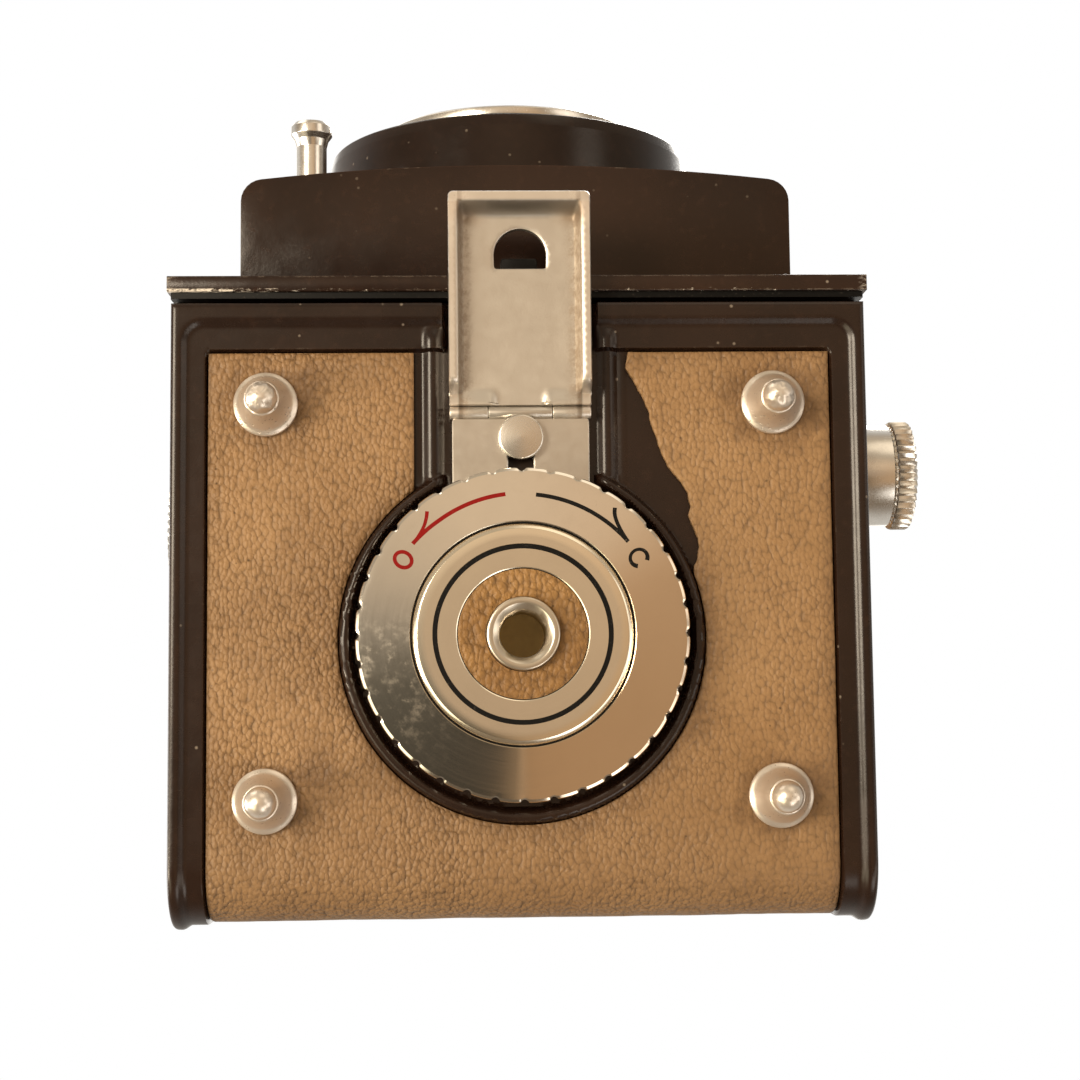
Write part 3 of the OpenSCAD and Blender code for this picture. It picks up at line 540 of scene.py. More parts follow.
def fillet(poly, seg=4):
    """poly: (x, y) or (x, y, r) corners of a closed outline; r rounds the corner."""
    out = []
    n = len(poly)
    for i in range(n):
        p = Vector(poly[i][:2])
        r = poly[i][2] if len(poly[i]) > 2 else 0
        if not r:
            out.append((p.x, p.y))
            continue
        a, b = Vector(poly[i - 1][:2]), Vector(poly[(i + 1) % n][:2])
        da, db = (a - p), (b - p)
        la, lb = da.length, db.length
        da.normalize(), db.normalize()
        ang = da.angle(db)
        t = min(r / math.tan(ang / 2), la * 0.48, lb * 0.48)
        p0, p2 = p + da * t, p + db * t
        for k in range(seg + 1):
            s = k / seg
            w = 1 - 2 * s * (1 - s) * (1 - math.sin(ang / 2))  # close to a circular arc
            q = (p0 * (1 - s) ** 2 + p * 2 * s * (1 - s) * math.sin(ang / 2) + p2 * s * s) / ((1 - s) ** 2 + 2 * s * (1 - s) * math.sin(ang / 2) + s * s)
            out.append((q.x, q.y))
    return out


def lathe(prof, place, n=96, mod=None):
    """prof: closed outline of (radius, along) points. mod(angle, radius, along) may change the radius."""
    V, F, rings = [], [], []
    for r, w in prof:
        if r < 1e-6:
            rings.append([len(V)] * n)
            V.append(place(0, 0, w))
            continue
        ring = []
        for i in range(n):
            a = 2 * pi * i / n
            rr = mod(a, r, w) if mod else r
            ring.append(len(V))
            V.append(place(rr * cos(a), rr * sin(a), w))
        rings.append(ring)
    m = len(prof)
    for j in range(m):
        A, B = rings[j], rings[(j + 1) % m]
        if prof[j][0] < 1e-6 and prof[(j + 1) % m][0] < 1e-6:
            continue
        for i in range(n):
            k = (i + 1) % n
            f = [A[i], A[k], B[k], B[i]]
            g = []
            for q in f:
                if q not in g:
                    g.append(q)
            if len(g) > 2:
                F.append(g)
    return V, F


def join(*parts):
    V, F = [], []
    for v, f in parts:
        b = len(V)
        V += v
        F += [[i + b for i in q] for q in f]
    return V, F


def sheet(loops, inside, grid, top, bot, inner=()):
    """Closed slab over a flat region. loops bound it, inner are crease lines inside it, grid are loose points.
    top and bot give the two faces: top(x, y, on_edge), bot(x, y)."""
    pts, edges = [], []
    for lp in list(loops) + list(inner):
        b = len(pts)
        pts += [Vector(p) for p in lp]
        edges += [(b + i, b + (i + 1) % len(lp)) for i in range(len(lp))]
    pts += [Vector(p) for p in grid]
    V2, _, tri, _, _, _ = delaunay_2d_cdt(pts, edges, [], 0, 1e-4)
    keep = []
    for f in tri:
        c = sum((V2[i] for i in f), Vector((0, 0))) / len(f)
        if inside(c.x, c.y):
            keep.append(list(f))
    used = sorted({i for f in keep for i in f})
    new = {i: k for k, i in enumerate(used)}
    n = len(used)
    cnt = {}
    for f in keep:
        for i in range(len(f)):
            a, b = f[i], f[(i + 1) % len(f)]
            cnt.setdefault((min(a, b), max(a, b)), []).append((a, b))
    border = [v[0] for v in cnt.values() if len(v) == 1]
    on = {i for e in border for i in e}
    V = [top(V2[i].x, V2[i].y, i in on) for i in used] + [bot(V2[i].x, V2[i].y) for i in used]
    F = [[new[i] for i in f] for f in keep] + [[new[i] + n for i in reversed(f)] for f in keep]
    F += [[new[b], new[a], new[a] + n, new[b] + n] for a, b in border]
    return V, F


def inpoly(poly):
    P = np.array(poly, float)

    def f(x, y):
        c = False
        j = len(P) - 1
        for i in range(len(P)):
            xi, yi = P[i]
            xj, yj = P[j]
            if (yi > y) != (yj > y) and x < (xj - xi) * (y - yi) / (yj - yi) + xi:
                c = not c
            j = i
        return c

    return f


def dist_to(poly):
    P = np.array(poly, float)
    Q = np.roll(P, -1, axis=0)
    D = Q - P
    L = (D ** 2).sum(1) + 1e-12

    def f(x, y):
        t = np.clip(((x - P[:, 0]) * D[:, 0] + (y - P[:, 1]) * D[:, 1]) / L, 0, 1)
        return float(np.sqrt(((P[:, 0] + t * D[:, 0] - x) ** 2 + (P[:, 1] + t * D[:, 1] - y) ** 2).min()))

    return f


def resample(poly, step):
    out = []
    n = len(poly)
    for i in range(n):
        a, b = Vector(poly[i]), Vector(poly[(i + 1) % n])
        k = max(1, int(round((b - a).length / step)))
        out += [tuple(a.lerp(b, j / k)) for j in range(k)]
    return out


def ss(x, a, b):
    t = np.clip((x - a) / (b - a), 0, 1)
    return t * t * (3 - 2 * t)


# ------------------------------------------------------------------ door
ARC = 7 * pi / 2
T_END = 61 + ARC + 102.6


def ls(x, t, d):
    """Point on the bottom-and-back door: t runs from the front edge back and up, d is the depth under the rails."""
    if t <= 61:
        return (x, t - 36.5, 2.7 + d)
    if t <= 61 + ARC:
        a, r = (t - 61) / 7, 7 - d
        return (x, 24.5 + r * sin(a), 9.7 - r * cos(a))
    return (x, 31.5 - d, 9.7 + t - 61 - ARC)


def rmin(a, b, r):
    """smaller of two distances, with the inner corner rounded"""
    return np.where((a < r) & (b < r), r - np.sqrt((r - a) ** 2 + (r - b) ** 2), np.minimum(a, b))


def door_depth(x, t):
    u = 38 - np.abs(x)
    v = t
    w = T_END - t
    Y = t - 36.5
    ax = np.abs(x)
    ro = np.sqrt(x ** 2 + (Y - 0.4) ** 2)
    ri = np.sqrt(x ** 2 + (Y - 0.2) ** 2)
    bottom = t < 60
    strap = np.where((Y < -8) & bottom, np.maximum(ax - 11.5, 0), 99.0)
    sd = np.minimum.reduce([rmin(u - 3.95, v - 5.4, 0.7), w - 2.4, strap, ro - 19.85])
    d = 0.5 + 1.0 * ss(sd, -0.28, 0.06)
    rid = np.minimum.reduce([rmin(u - 1.4, v - 2.15, 2.2), w - 1.3])
    d = d - 0.5 * (1 - ss(rid, -0.40, 0.55))
    # beads beside the strap and round the dial
    fs = np.where((Y < -15.9) & bottom & (v > 2.0), np.abs(ax - 9.55), 99.0)
    fr = np.where(bottom, np.abs(ro - 19.1), 99.0)
    fr = np.where((ax < 9.3) & (Y < -8), 99.0, fr)
    lobe = np.clip(1 - (fs / 0.95) ** 2, 0, 1) ** 0.75
    lobe2 = np.clip(1 - (fr / 0.85) ** 2, 0, 1) ** 0.75
    up = np.maximum(lobe * ss(v, 2.2, 4.2), lobe2)
    d = d - 0.5 * up * ss(d, 0.0, 0.5)
    # shallow groove between the bead and the outer shelf
    d = d + 0.12 * np.exp(-((np.abs(ax - 10.75)) / 0.28) ** 2) * np.where((Y < -17) & (v > 5) & bottom, 1, 0)
    # strap channel and dial recess
    ch = np.where((Y < 0) & bottom, ss(ax, 8.55, 8.05), 0.0)
    rec = np.where(bottom, ss(ri, 18.75, 18.25), 0.0)
    d = d + (1.5 - d) * np.maximum(ch, rec)
    # rounded outer edges
    e = np.minimum.reduce([u, v * 1.1, w])
    rr = 0.55
    d = d + np.where(e < rr, rr - np.sqrt(np.maximum(rr ** 2 - (rr - np.clip(e, 0, rr)) ** 2, 0)), 0)
    return d


def build_door():
    xs = sorted(set(
        [round(v, 3) for v in np.arange(-37.9, 37.95, 0.3)]
        + [38.0, -38.0, 37.95, -37.95, 37.75, -37.75]
        + [s * round(v, 3) for s in (-1, 1) for v in np.arange(33.6, 34.6, 0.1)]
    ))
    ts = sorted(set(
        [0.0, 0.05, 0.15] + [round(v, 3) for v in np.arange(0.3, 58.6, 0.3)] + [round(v, 3) for v in np.arange(58.6, 61, 0.6)]
        + [61 + ARC * i / 14 for i in range(15)]
        + [round(v, 3) for v in np.linspace(61 + ARC + 4, T_END - 4, 24)]
        + [T_END - v for v in (3.2, 2.7, 2.45, 2.3, 2.1, 1.9, 1.6, 1.3, 1.0, 0.7, 0.4, 0.2, 0.08, 0.0)]
    ))
    X = np.array(xs)
    V, F = [], []
    hx = [x for x in xs if abs(x) <= 6]
    L, o0, i0 = len(hx), xs.index(hx[0]), len(xs) + 5
    inner = [(38, 1.5), (38, 4.6), (36.6, 4.6), (36.6, 2.7), (18, 2.7)] + [(x, 2.7) for x in reversed(hx)] + [(-18, 2.7), (-36.6, 2.7), (-36.6, 4.6), (-38, 4.6), (-38, 1.5)]
    m = len(xs) + len(inner)
    for t in ts:
        D = door_depth(X, np.full(len(X), t))
        V += [ls(float(x), t, float(d)) for x, d in zip(X, D)]
        V += [ls(x, t, d) for x, d in inner]
    gone = {(j, k) for j in range(len(ts) - 1) for k in range(L - 1)
            if all(math.hypot(x, t - 36.5) < 3.72 for x in (hx[k], hx[k + 1]) for t in (ts[j], ts[j + 1]))}
    for j in range(len(ts) - 1):
        a, b = j * m, (j + 1) * m
        for i in range(m):
            k = (i + 1) % m
            if (j, i - o0) in gone or (j, L - 2 - (i - i0)) in gone and i0 <= i < i0 + L - 1:
                continue
            F.append([a + i, a + k, b + k, b + i])
    low = lambda j, k: j * m + o0 + k
    high = lambda j, k: j * m + i0 + L - 1 - k
    for j, k in gone:
        for (dj, dk), (p, q) in (((-1, 0), ((j, k), (j, k + 1))), ((1, 0), ((j + 1, k), (j + 1, k + 1))), ((0, -1), ((j, k), (j + 1, k))), ((0, 1), ((j, k + 1), (j + 1, k + 1)))):
            if (j + dj, k + dk) not in gone:
                F.append([low(*p), low(*q), high(*q), high(*p)])
    F.append(list(range(m)))
    last = (len(ts) - 1) * m
    F.append([last + i for i in reversed(range(m))])
    # hinge knuckles on the top edge
    kn = [lathe(fillet([(0.95, s * 7.02), (2.0, s * 7.02, 0.25), (2.0, s * 19.98, 0.25), (0.95, s * 19.98)]), xaxis(29.9, 114.8), 40) for s in (-1, 1)]
    arms = []
    for s in (-1, 1):
        x0, x1 = sorted((s * 7.0, s * 20.0))
        vv = [(x, y, z) for x in (x0, x1) for y, z in ((29.0, 111.5), (30.4, 111.5), (30.4, 113.4), (29.0, 113.4))]
        ff = [[0, 1, 2, 3], [7, 6, 5, 4], [0, 4, 5, 1], [1, 5, 6, 2], [2, 6, 7, 3], [3, 7, 4, 0]]
        arms.append((vv, ff))
    V, F = join((V, F), *kn, *arms)
    return make("door_casting", V, F, "brown_door", "back_door", smooth=50)


build_door()

TEAR = [(11.89, -30.97), (11.62, -29.19), (12.82, -27.19), (13.99, -24.74), (14.46, -22.75), (15.39, -19.76), (16.08, -18.32), (17.54, -16.55),
        (18.22, -15.33), (18.58, -13.84), (18.21, -12.86), (18.68, -11.63), (19.25, -10.4), (19.37, -9.43), (19.21, -8.2), (18.45, -7.0)]


def build_leather():
    r = random.Random(11)
    tear = []
    for i in range(len(TEAR) - 1):
        a, b = Vector(TEAR[i]), Vector(TEAR[i + 1])
        k = max(1, int((b - a).length / 0.45))
        for j in range(k):
            p = a.lerp(b, j / k)
            nrm = Vector((-(b - a).y, (b - a).x)).normalized()
            q = p + nrm * (r.uniform(-0.07, 0.07) if (i, j) != (0, 0) else 0)
            tear.append((q.x, q.y + 36.5))
    a0 = math.degrees(math.atan2(-16.2, -11.62)) + 360
    arc = [(19.97 * cos(math.radians(a)), 0.4 + 19.97 * sin(math.radians(a)) + 36.5) for a in np.arange(a0, -21.5, -1.6)]
    out = [(-33.95, 5.5), (-11.62, 5.5)] + arc + list(reversed(tear)) + [(33.95, 5.5), (33.95, T_END - 2.5), (-33.95, T_END - 2.5)]
    # soften the cut line a little, as a knife leaves it
    loop = []
    for p in resample(out, 0.9):
        if not loop or (Vector(p) - Vector(loop[-1])).length > 0.12:
            loop.append(p)
    ins = inpoly(loop)
    dist = dist_to(loop)
    dt = dist_to(tear)
    grid = []
    rim = []
    for j, t in enumerate(np.arange(6.0, 76.0, 0.95)):
        for x in np.arange(-33.5 + (j % 2) * 0.5, 33.6, 1.0):
            if ins(x, t):
                dd = dist(x, t)
                if dd > 0.55:
                    grid.append((x, t))
    for j, t in enumerate(np.arange(77.0, T_END - 3, 3.0)):
        for x in np.arange(-32 + (j % 2), 32.5, 2.0):
            grid.append((x, t))
    # a line just inside the border, so the edge rolls over
    P = np.array(loop)
    for i in range(len(P)):
        a, b = P[i - 1], P[(i + 1) % len(P)]
        tv = (b - a) / (np.linalg.norm(b - a) + 1e-9)
        for s in (1, -1):
            q = P[i] + s * 0.28 * np.array([-tv[1], tv[0]])
            if ins(*q) and dist(*q) > 0.2:
                rim.append(tuple(q))
    grid += rim

    def top(x, t, on):
        y = t - 36.5
        d = 0.80 + 0.07 * mn.noise(Vector((x * 0.16, t * 0.16, 3))) + 0.035 * mn.noise(Vector((x * 0.6, t * 0.6, 9)))
        near = dt(x, t) if 3 < x < 26 and t < 40 else 9
        d -= 0.16 * max(0, 1 - near / 1.6)
        for fx in (-27.7, 27.7):
            for fy in (-25.3, 17.5):
                q = math.hypot(x - fx, y - fy)
                d += 0.10 * math.exp(-((q - 3.4) / 0.9) ** 2)
        if on:
            d += 0.14
        return ls(x, t, d)

    V, F = sheet([loop], ins, grid, top, lambda x, t: ls(x, t, 1.47))
    return make("door_leather", V, F, "leather_bottom", "door_leatherette", smooth=60)


build_leather()


def circle(cx, cy, r, n=48):
    return [(cx + r * cos(2 * pi * i / n), cy + r * sin(2 * pi * i / n)) for i in range(n)]


def build_side_leather():
    parts = []
    for s in (-1, 1):
        out = resample(fillet([(-33.9, 12.1, 1.0), (22.9, 12.1, 1.0), (22.9, 113.9, 1.0), (-33.9, 113.9, 1.0)], 5), 1.5)
        holes = [circle(-19.1, 19.5, 7), circle(13, 89, 7), circle(-2, 106, 4.2, 36)]
        if s < 0:
            holes.append(circle(-17, 63.5, 15, 72))
        ins0 = inpoly(out)
        cs = [(-19.1, 19.5, 7), (13, 89, 7), (-2, 106, 4.2)] + ([(-17, 63.5, 15)] if s < 0 else [])
        ins = lambda y, z: ins0(y, z) and all(math.hypot(y - a, z - b) > r - 0.02 for a, b, r in cs)
        grid = [(y, z) for y in np.arange(-32.6, 22, 1.8) for z in np.arange(13.4, 113, 1.8)
                if all(math.hypot(y - a, z - b) > r + 0.6 for a, b, r in cs)]
        grid += [(y, z) for y in np.arange(-33.5, 22.6, 1.8) for z in (12.45, 113.55)] + [(y, z) for y in (-33.55, 22.55) for z in np.arange(13.4, 113, 1.8)]
        for a, b, r in cs:
            grid += [q for q in circle(a, b, r + 0.32, 60)]

        def top(y, z, on):
            d = 0.03 * mn.noise(Vector((y * 0.2, z * 0.2, 5 * s)))
            return (s * (37.88 + d - (0.14 if on else 0)), y, z)

        parts.append(sheet([out] + holes, ins, grid, top, lambda y, z: (s * 37.33, y, z)))
    V, F = join(*parts)
    return make("side_leather", V, F, "leather_side", "side_leatherette", smooth=60)


build_side_leather()


# ------------------------------------------------------------------ feet
def build_feet():
    for i, (x, y) in enumerate([(-27.7, -25.3), (27.7, -25.3), (-27.7, 17.5), (27.7, 17.5)]):
        prof = [(0, 4.2), (1.2, 4.2), (1.2, 3.5), (3.3, 3.5), (3.5, 3.42), (3.5, 3.12), (3.42, 3.0), (3.2, 2.93)]
        for k in range(1, 9):
            t = k / 8
            prof.append((1.92 + 1.25 * (1 - t) ** 2.2, 2.88 - 3.5 * t))
        prof += [(1.90, -0.75), (1.80, -0.84), (1.70, -0.86), (1.70, -0.95)]
        for a in np.linspace(8, 82, 9):
            prof.append((1.74 * cos(math.radians(a)), -0.98 - 1.79 * sin(math.radians(a))))
        prof.append((0, -2.79))
        V, F = lathe(prof, zaxis(x, y), 56)
        front = y < 0
        W = []
        for (a, b, c) in V:
            if c < -0.4:
                w = min(1.0, (-0.4 - c) / 1.2)
                amp = (0.16 if front else 0.035) * w
                nz = mn.noise(Vector((a * 1.4, b * 1.4, c * 1.4))) + 0.5 * mn.noise(Vector((a * 3.7, b * 3.7, c * 3.7)))
                s = 1 - amp * max(0, nz)
                a, b, c = x + (a - x) * s, y + (b - y) * s, c + (1.2 * amp * max(0, nz) if front else 0)
            W.append((a, b, c))
        o = make(f"foot_{i + 1}", W, F, "foot_pitted" if front else "foot", body="door", slot="bright_metal", smooth=50)
        if i == 0:
            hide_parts("feet")


build_feet()


# ------------------------------------------------------------------ dial group
def build_dial():
    N = 36

    def mod(a, r, w):
        if r < 17.3:
            return r
        ph = (a * N / (2 * pi)) % 1.0
        dd = abs(ph - 0.5) * 2  # 1 in the notch middle
        notch = max(0.0, (dd - 0.70) / 0.30)
        k = (r - 17.3) / 0.6
        return r - 0.30 * min(1, k) * (1 - (1 - notch) ** 2) - 0.06 * (abs(ph - 0.5) * 2) ** 2

    prof = [(11.03, 2.5), (11.03, 1.46), (12.06, 1.46), (12.06, 0.60), (12.15, 0.5)]
    prof += [(r, 0.5) for r in (13, 14, 15, 16, 16.8, 17.3)]
    prof += [(17.55, 0.51), (17.82, 0.64), (17.9, 0.76), (17.9, 2.3), (17.75, 2.48), (16.5, 2.5)]
    V, F = lathe(prof, zaxis(0, 0), 36 * 14, mod)
    return make("lock_dial_turned", V, F, "dial", "lock_dial", smooth=22)


build_dial()


def polar_pt(r, a):
    """a is measured from the front (-Y) towards +X, in degrees"""
    a = math.radians(a)
    return Vector((r * sin(a), -r * cos(a)))


def ribbon(pts, widths, z0, z1, closed=False):
    """Flat band of changing width along a 2-D line, as a thin closed solid."""
    n = len(pts)
    L, R = [], []
    for i, p in enumerate(pts):
        a = pts[i - 1] if (i or closed) else pts[0]
        b = pts[(i + 1) % n] if (i < n - 1 or closed) else pts[-1]
        t = (b - a).normalized()
        nr = Vector((-t.y, t.x)) * widths[i] / 2
        L.append(p + nr)
        R.append(p - nr)
    V = [(q.x, q.y, z) for z in (z0, z1) for row in (L, R) for q in row]
    F = []
    m = n if closed else n - 1
    A, B, C, D = 0, n, 2 * n, 3 * n
    for i in range(m):
        k = (i + 1) % n
        F += [[A + i, A + k, B + k, B + i], [C + i, D + i, D + k, C + k], [A + i, C + i, C + k, A + k], [B + i, B + k, D + k, D + i]]
    if not closed:
        F += [[A, B, D, C], [A + n - 1, C + n - 1, D + n - 1, B + n - 1]]
    return V, F


def smooth_line(ctrl, n=14):
    out = []
    P = [Vector(c) for c in ctrl]
    for i in range(len(P) - 1):
        p0, p1, p2, p3 = P[max(0, i - 1)], P[i], P[i + 1], P[min(len(P) - 1, i + 2)]
        for k in range(n if i < len(P) - 2 else n + 1):
            t = k / n
            out.append(0.5 * ((2 * p1) + (p2 - p0) * t + (2 * p0 - 5 * p1 + 4 * p2 - p3) * t * t + (3 * p1 - p0 - 3 * p2 + p3) * t ** 3))
    return out


def build_marks():
    z0, z1 = 0.47, 0.53
    w = 0.43
    parts = []
    line = [polar_pt(15.1 + 0.12 * max(0, (-a - 36) / 14), a) for a in np.linspace(-6.7, -50.3, 34)]
    parts.append(ribbon(line, [w] * 34, z0, z1))
    barb = smooth_line([polar_pt(16.65, -37.6), polar_pt(16.1, -39.6), polar_pt(15.62, -42.4), polar_pt(15.32, -46.2), polar_pt(15.2, -50.0)], 6)
    parts.append(ribbon(barb, [0.40 - 0.10 * i / len(barb) for i in range(len(barb))], z0 + 0.004, z1))
    c = polar_pt(15.05, -57.8)
    a = math.radians(-57.8)
    et, er = Vector((cos(a), sin(a))), Vector((sin(a), -cos(a)))
    ring = [c + et * 0.80 * cos(q) + er * 0.95 * sin(q) for q in np.linspace(0, 2 * pi, 40, endpoint=False)]
    parts.append(ribbon(ring, [0.40] * 40, z0, z1, True))
    V, F = join(*parts)
    make("dial_open_mark", V, F, "red_mark", body="dial", slot="bright_metal", smooth=30)
    parts = []
    line = [polar_pt(15.0, q) for q in np.linspace(5.8, 49.3, 34)]
    parts.append(ribbon(line, [w] * 34, z0, z1))
    barb = smooth_line([polar_pt(16.75, 36.6), polar_pt(16.2, 37.9), polar_pt(15.7, 40.3), polar_pt(15.25, 44.3), polar_pt(15.0, 48.8)], 6)
    parts.append(ribbon(barb, [0.44 - 0.08 * i / len(barb) for i in range(len(barb))], z0 + 0.004, z1))
    c = polar_pt(14.85, 57.2)
    a = math.radians(57.2)
    et, er = Vector((cos(a), sin(a))), Vector((sin(a), -cos(a)))
    arc = [c + et * 0.88 * cos(q) + er * 0.95 * sin(q) for q in np.linspace(math.radians(38), math.radians(322), 34)]
    parts.append(ribbon(arc, [0.34 + 0.14 * abs(i / 16.5 - 1) ** 2 for i in range(34)], z0, z1))
    V, F = join(*parts)
    make("dial_close_mark", V, F, "black_mark", body="dial", slot="bright_metal", smooth=30)


build_marks()


def build_boss():
    prof = [(11.88, 1.38), (11.88, 0.82), (11.82, 0.75), (11.36, 0.42), (11.28, 0.40), (10.4, 0.40), (9.68, 0.40), (9.68, 0.58), (9.12, 0.58), (9.12, 0.40), (8.1, 0.40),
            (7.16, 0.40), (7.06, 0.46), (7.06, 0.9), (4.0, 0.9), (4.0, 4.18), (10.93, 4.18), (10.93, 1.38)]
    V, F = lathe(prof, zaxis(0, 0), 160)
    make("dial_boss_turned", V, F, "boss", "dial_boss", smooth=24)
    V, F = lathe([(9.66, 0.44), (9.66, 0.56), (9.14, 0.56), (9.14, 0.44)], zaxis(0, 0), 128)
    make("dial_boss_black_ring", V, F, "black_line", body="door", slot="satin_metal", smooth=30)
    # painted shade: black rings set in the gaps round the dial bore and round the leather disc, dark as these gaps are
    V, F = lathe([(12.03, 0.74), (12.03, 0.95), (11.9, 0.95), (11.9, 0.74)], zaxis(0, 0), 160)
    make("dial_gap_painted_shade", V, F, "black_line", body="door", slot="satin_metal", smooth=30)
    V, F = lathe([(7.12, 0.50), (7.12, 0.60), (6.99, 0.60), (6.99, 0.50)], zaxis(0, 0), 120)
    make("washer_gap_painted_shade", V, F, "black_line", body="door", slot="satin_metal", smooth=30)
    prof = [(4.02, 0.42), (4.12, 0.37), (4.6, 0.355), (5.2, 0.35), (5.8, 0.355), (6.4, 0.36), (6.82, 0.38), (6.96, 0.44), (6.98, 0.89), (4.02, 0.89)]
    V, F = lathe(prof, zaxis(0, 0), 120)
    V = [(x, y, z + (0.05 * mn.noise(Vector((x * 1.3, y * 1.3, 4))) if z < 0.7 else 0)) for x, y, z in V]
    make("boss_leather_disc", V, F, "leather_disc", "boss_washer", smooth=60)


build_boss()


def build_bush():
    """Bush with a real thread of 1.27 mm pitch inside."""
    n, V, F = 64, [], []
    rows = [(3.93, 10.9), (3.93, -0.42), (3.84, -0.55), (3.72, -0.6), (3.30, -0.6), (3.2, -0.56), (2.62, -0.02)]
    hs = list(np.arange(0.15, 7.9, 0.14))
    m = len(rows) + len(hs) + 2
    for r, w in rows:
        V += [(r * cos(2 * pi * i / n), r * sin(2 * pi * i / n), w) for i in range(n)]
    for w in hs:
        fade = min(1, (w + 0.1) / 0.7, (7.9 - w) / 0.8)
        for i in range(n):
            a = 2 * pi * i / n
            ph = ((w - 1.27 * a / (2 * pi)) / 1.27) % 1.0
            tri = 1 - abs(ph - 0.5) * 2
            r = 2.52 + 0.45 * fade * min(1, max(0, (tri - 0.12) / 0.76))
            V.append((r * cos(a), r * sin(a), w))
    V += [(2.5 * cos(2 * pi * i / n), 2.5 * sin(2 * pi * i / n), 8.0) for i in range(n)]
    V += [(2.5 * cos(2 * pi * i / n), 2.5 * sin(2 * pi * i / n), 8.0) for i in range(n)]
    m = len(rows) + len(hs) + 1
    V = V[: m * n]
    for j in range(m - 1):
        for i in range(n):
            k = (i + 1) % n
            F.append([j * n + i, j * n + k, (j + 1) * n + k, (j + 1) * n + i])
    F.append([(m - 1) * n + i for i in range(n)])
    F.append([i for i in range(n)])
    fl = lathe(fillet([(3.9, 5.42), (6.5, 5.42, 0.2), (6.5, 6.58, 0.2), (3.9, 6.58)]), zaxis(0, 0), 64)
    V, F = join((V, F), fl)
    make("tripod_bush_threaded", V, F, "bush", "tripod_bush", smooth=40)
    # soil on the socket floor, made to glow: painted light
    prof = [(0, 7.55), (0.5, 7.6), (1.2, 7.45), (2.1, 7.4), (2.46, 7.2), (2.46, 7.95), (0, 7.95)]
    V, F = lathe(prof, zaxis(0, 0), 32)
    V = [(x, y, z + 0.18 * mn.noise(Vector((x * 1.7, y * 1.7, 1))) if z < 7.9 else z) for x, y, z in V]
    make("socket_floor_soil_self_lit", V, F, "dirt", body="door", slot="bright_metal", smooth=60)


build_bush()


def build_stud():
    prof = fillet([(0, 1.56), (2.45, 1.60, 0.22), (2.45, 2.5, 0.1), (1.3, 2.5), (1.3, 5.3), (0, 5.3)], 4)
    V, F = lathe(prof, zaxis(0, -21.4), 64)
    make("guide_stud_turned", V, F, "stud", "guide_stud", smooth=30)


build_stud()


# ------------------------------------------------------------------ latch
def rect(x0, x1, y0, y1, r=0.3):
    return fillet([(x0, y0, r), (x1, y0, r), (x1, y1, r), (x0, y1, r)], 4)


def knuckle(x0, x1, r=0.75):
    return lathe(fillet([(0.38, x0), (r, x0, 0.12), (r, x1, 0.12), (0.38, x1)], 3), xaxis(-24.2, 3.1), 32)


def build_latch():
    out = resample(rect(-7.45, 7.45, -23.55, -12.05, 0.35), 0.7)
    slot = resample(rect(-1.4, 1.4, -22.8, -16.6, 0.6), 0.5)
    a, b = inpoly(out), inpoly(slot)
    ins = lambda x, y: a(x, y) and not b(x, y)
    d1, d2 = dist_to(out), dist_to(slot)
    rings = [resample(rect(-7.33, 7.33, -23.43, -12.17, 0.3), 0.7), resample(rect(-1.55, 1.55, -22.95, -16.45, 0.65), 0.5)]
    grid = [(x, y) for x in np.arange(-6.8, 6.9, 0.9) for y in np.arange(-22.8, -12.5, 0.9) if ins(x, y) and d1(x, y) > 0.3 and d2(x, y) > 0.3]

    def top(x, y, on):
        z = 2.6 + 0.012 * mn.noise(Vector((x * 0.4, y * 0.4, 2)))
        if on:
            z += 0.10
        return (x, y, z)

    body = sheet([out, slot], ins, grid, top, lambda x, y: (x, y, 3.6), rings)
    pin = lathe(fillet([(0, 1.62), (0.7, 1.62, 0.1), (0.7, 2.7), (0, 2.7)]), zaxis(0, -13.2), 24)
    V, F = join(body, pin, knuckle(-3.48, 3.48, 0.73))
    make("latch_plate_stamped", V, F, "plate", "latch_plate", smooth=30)


build_latch()


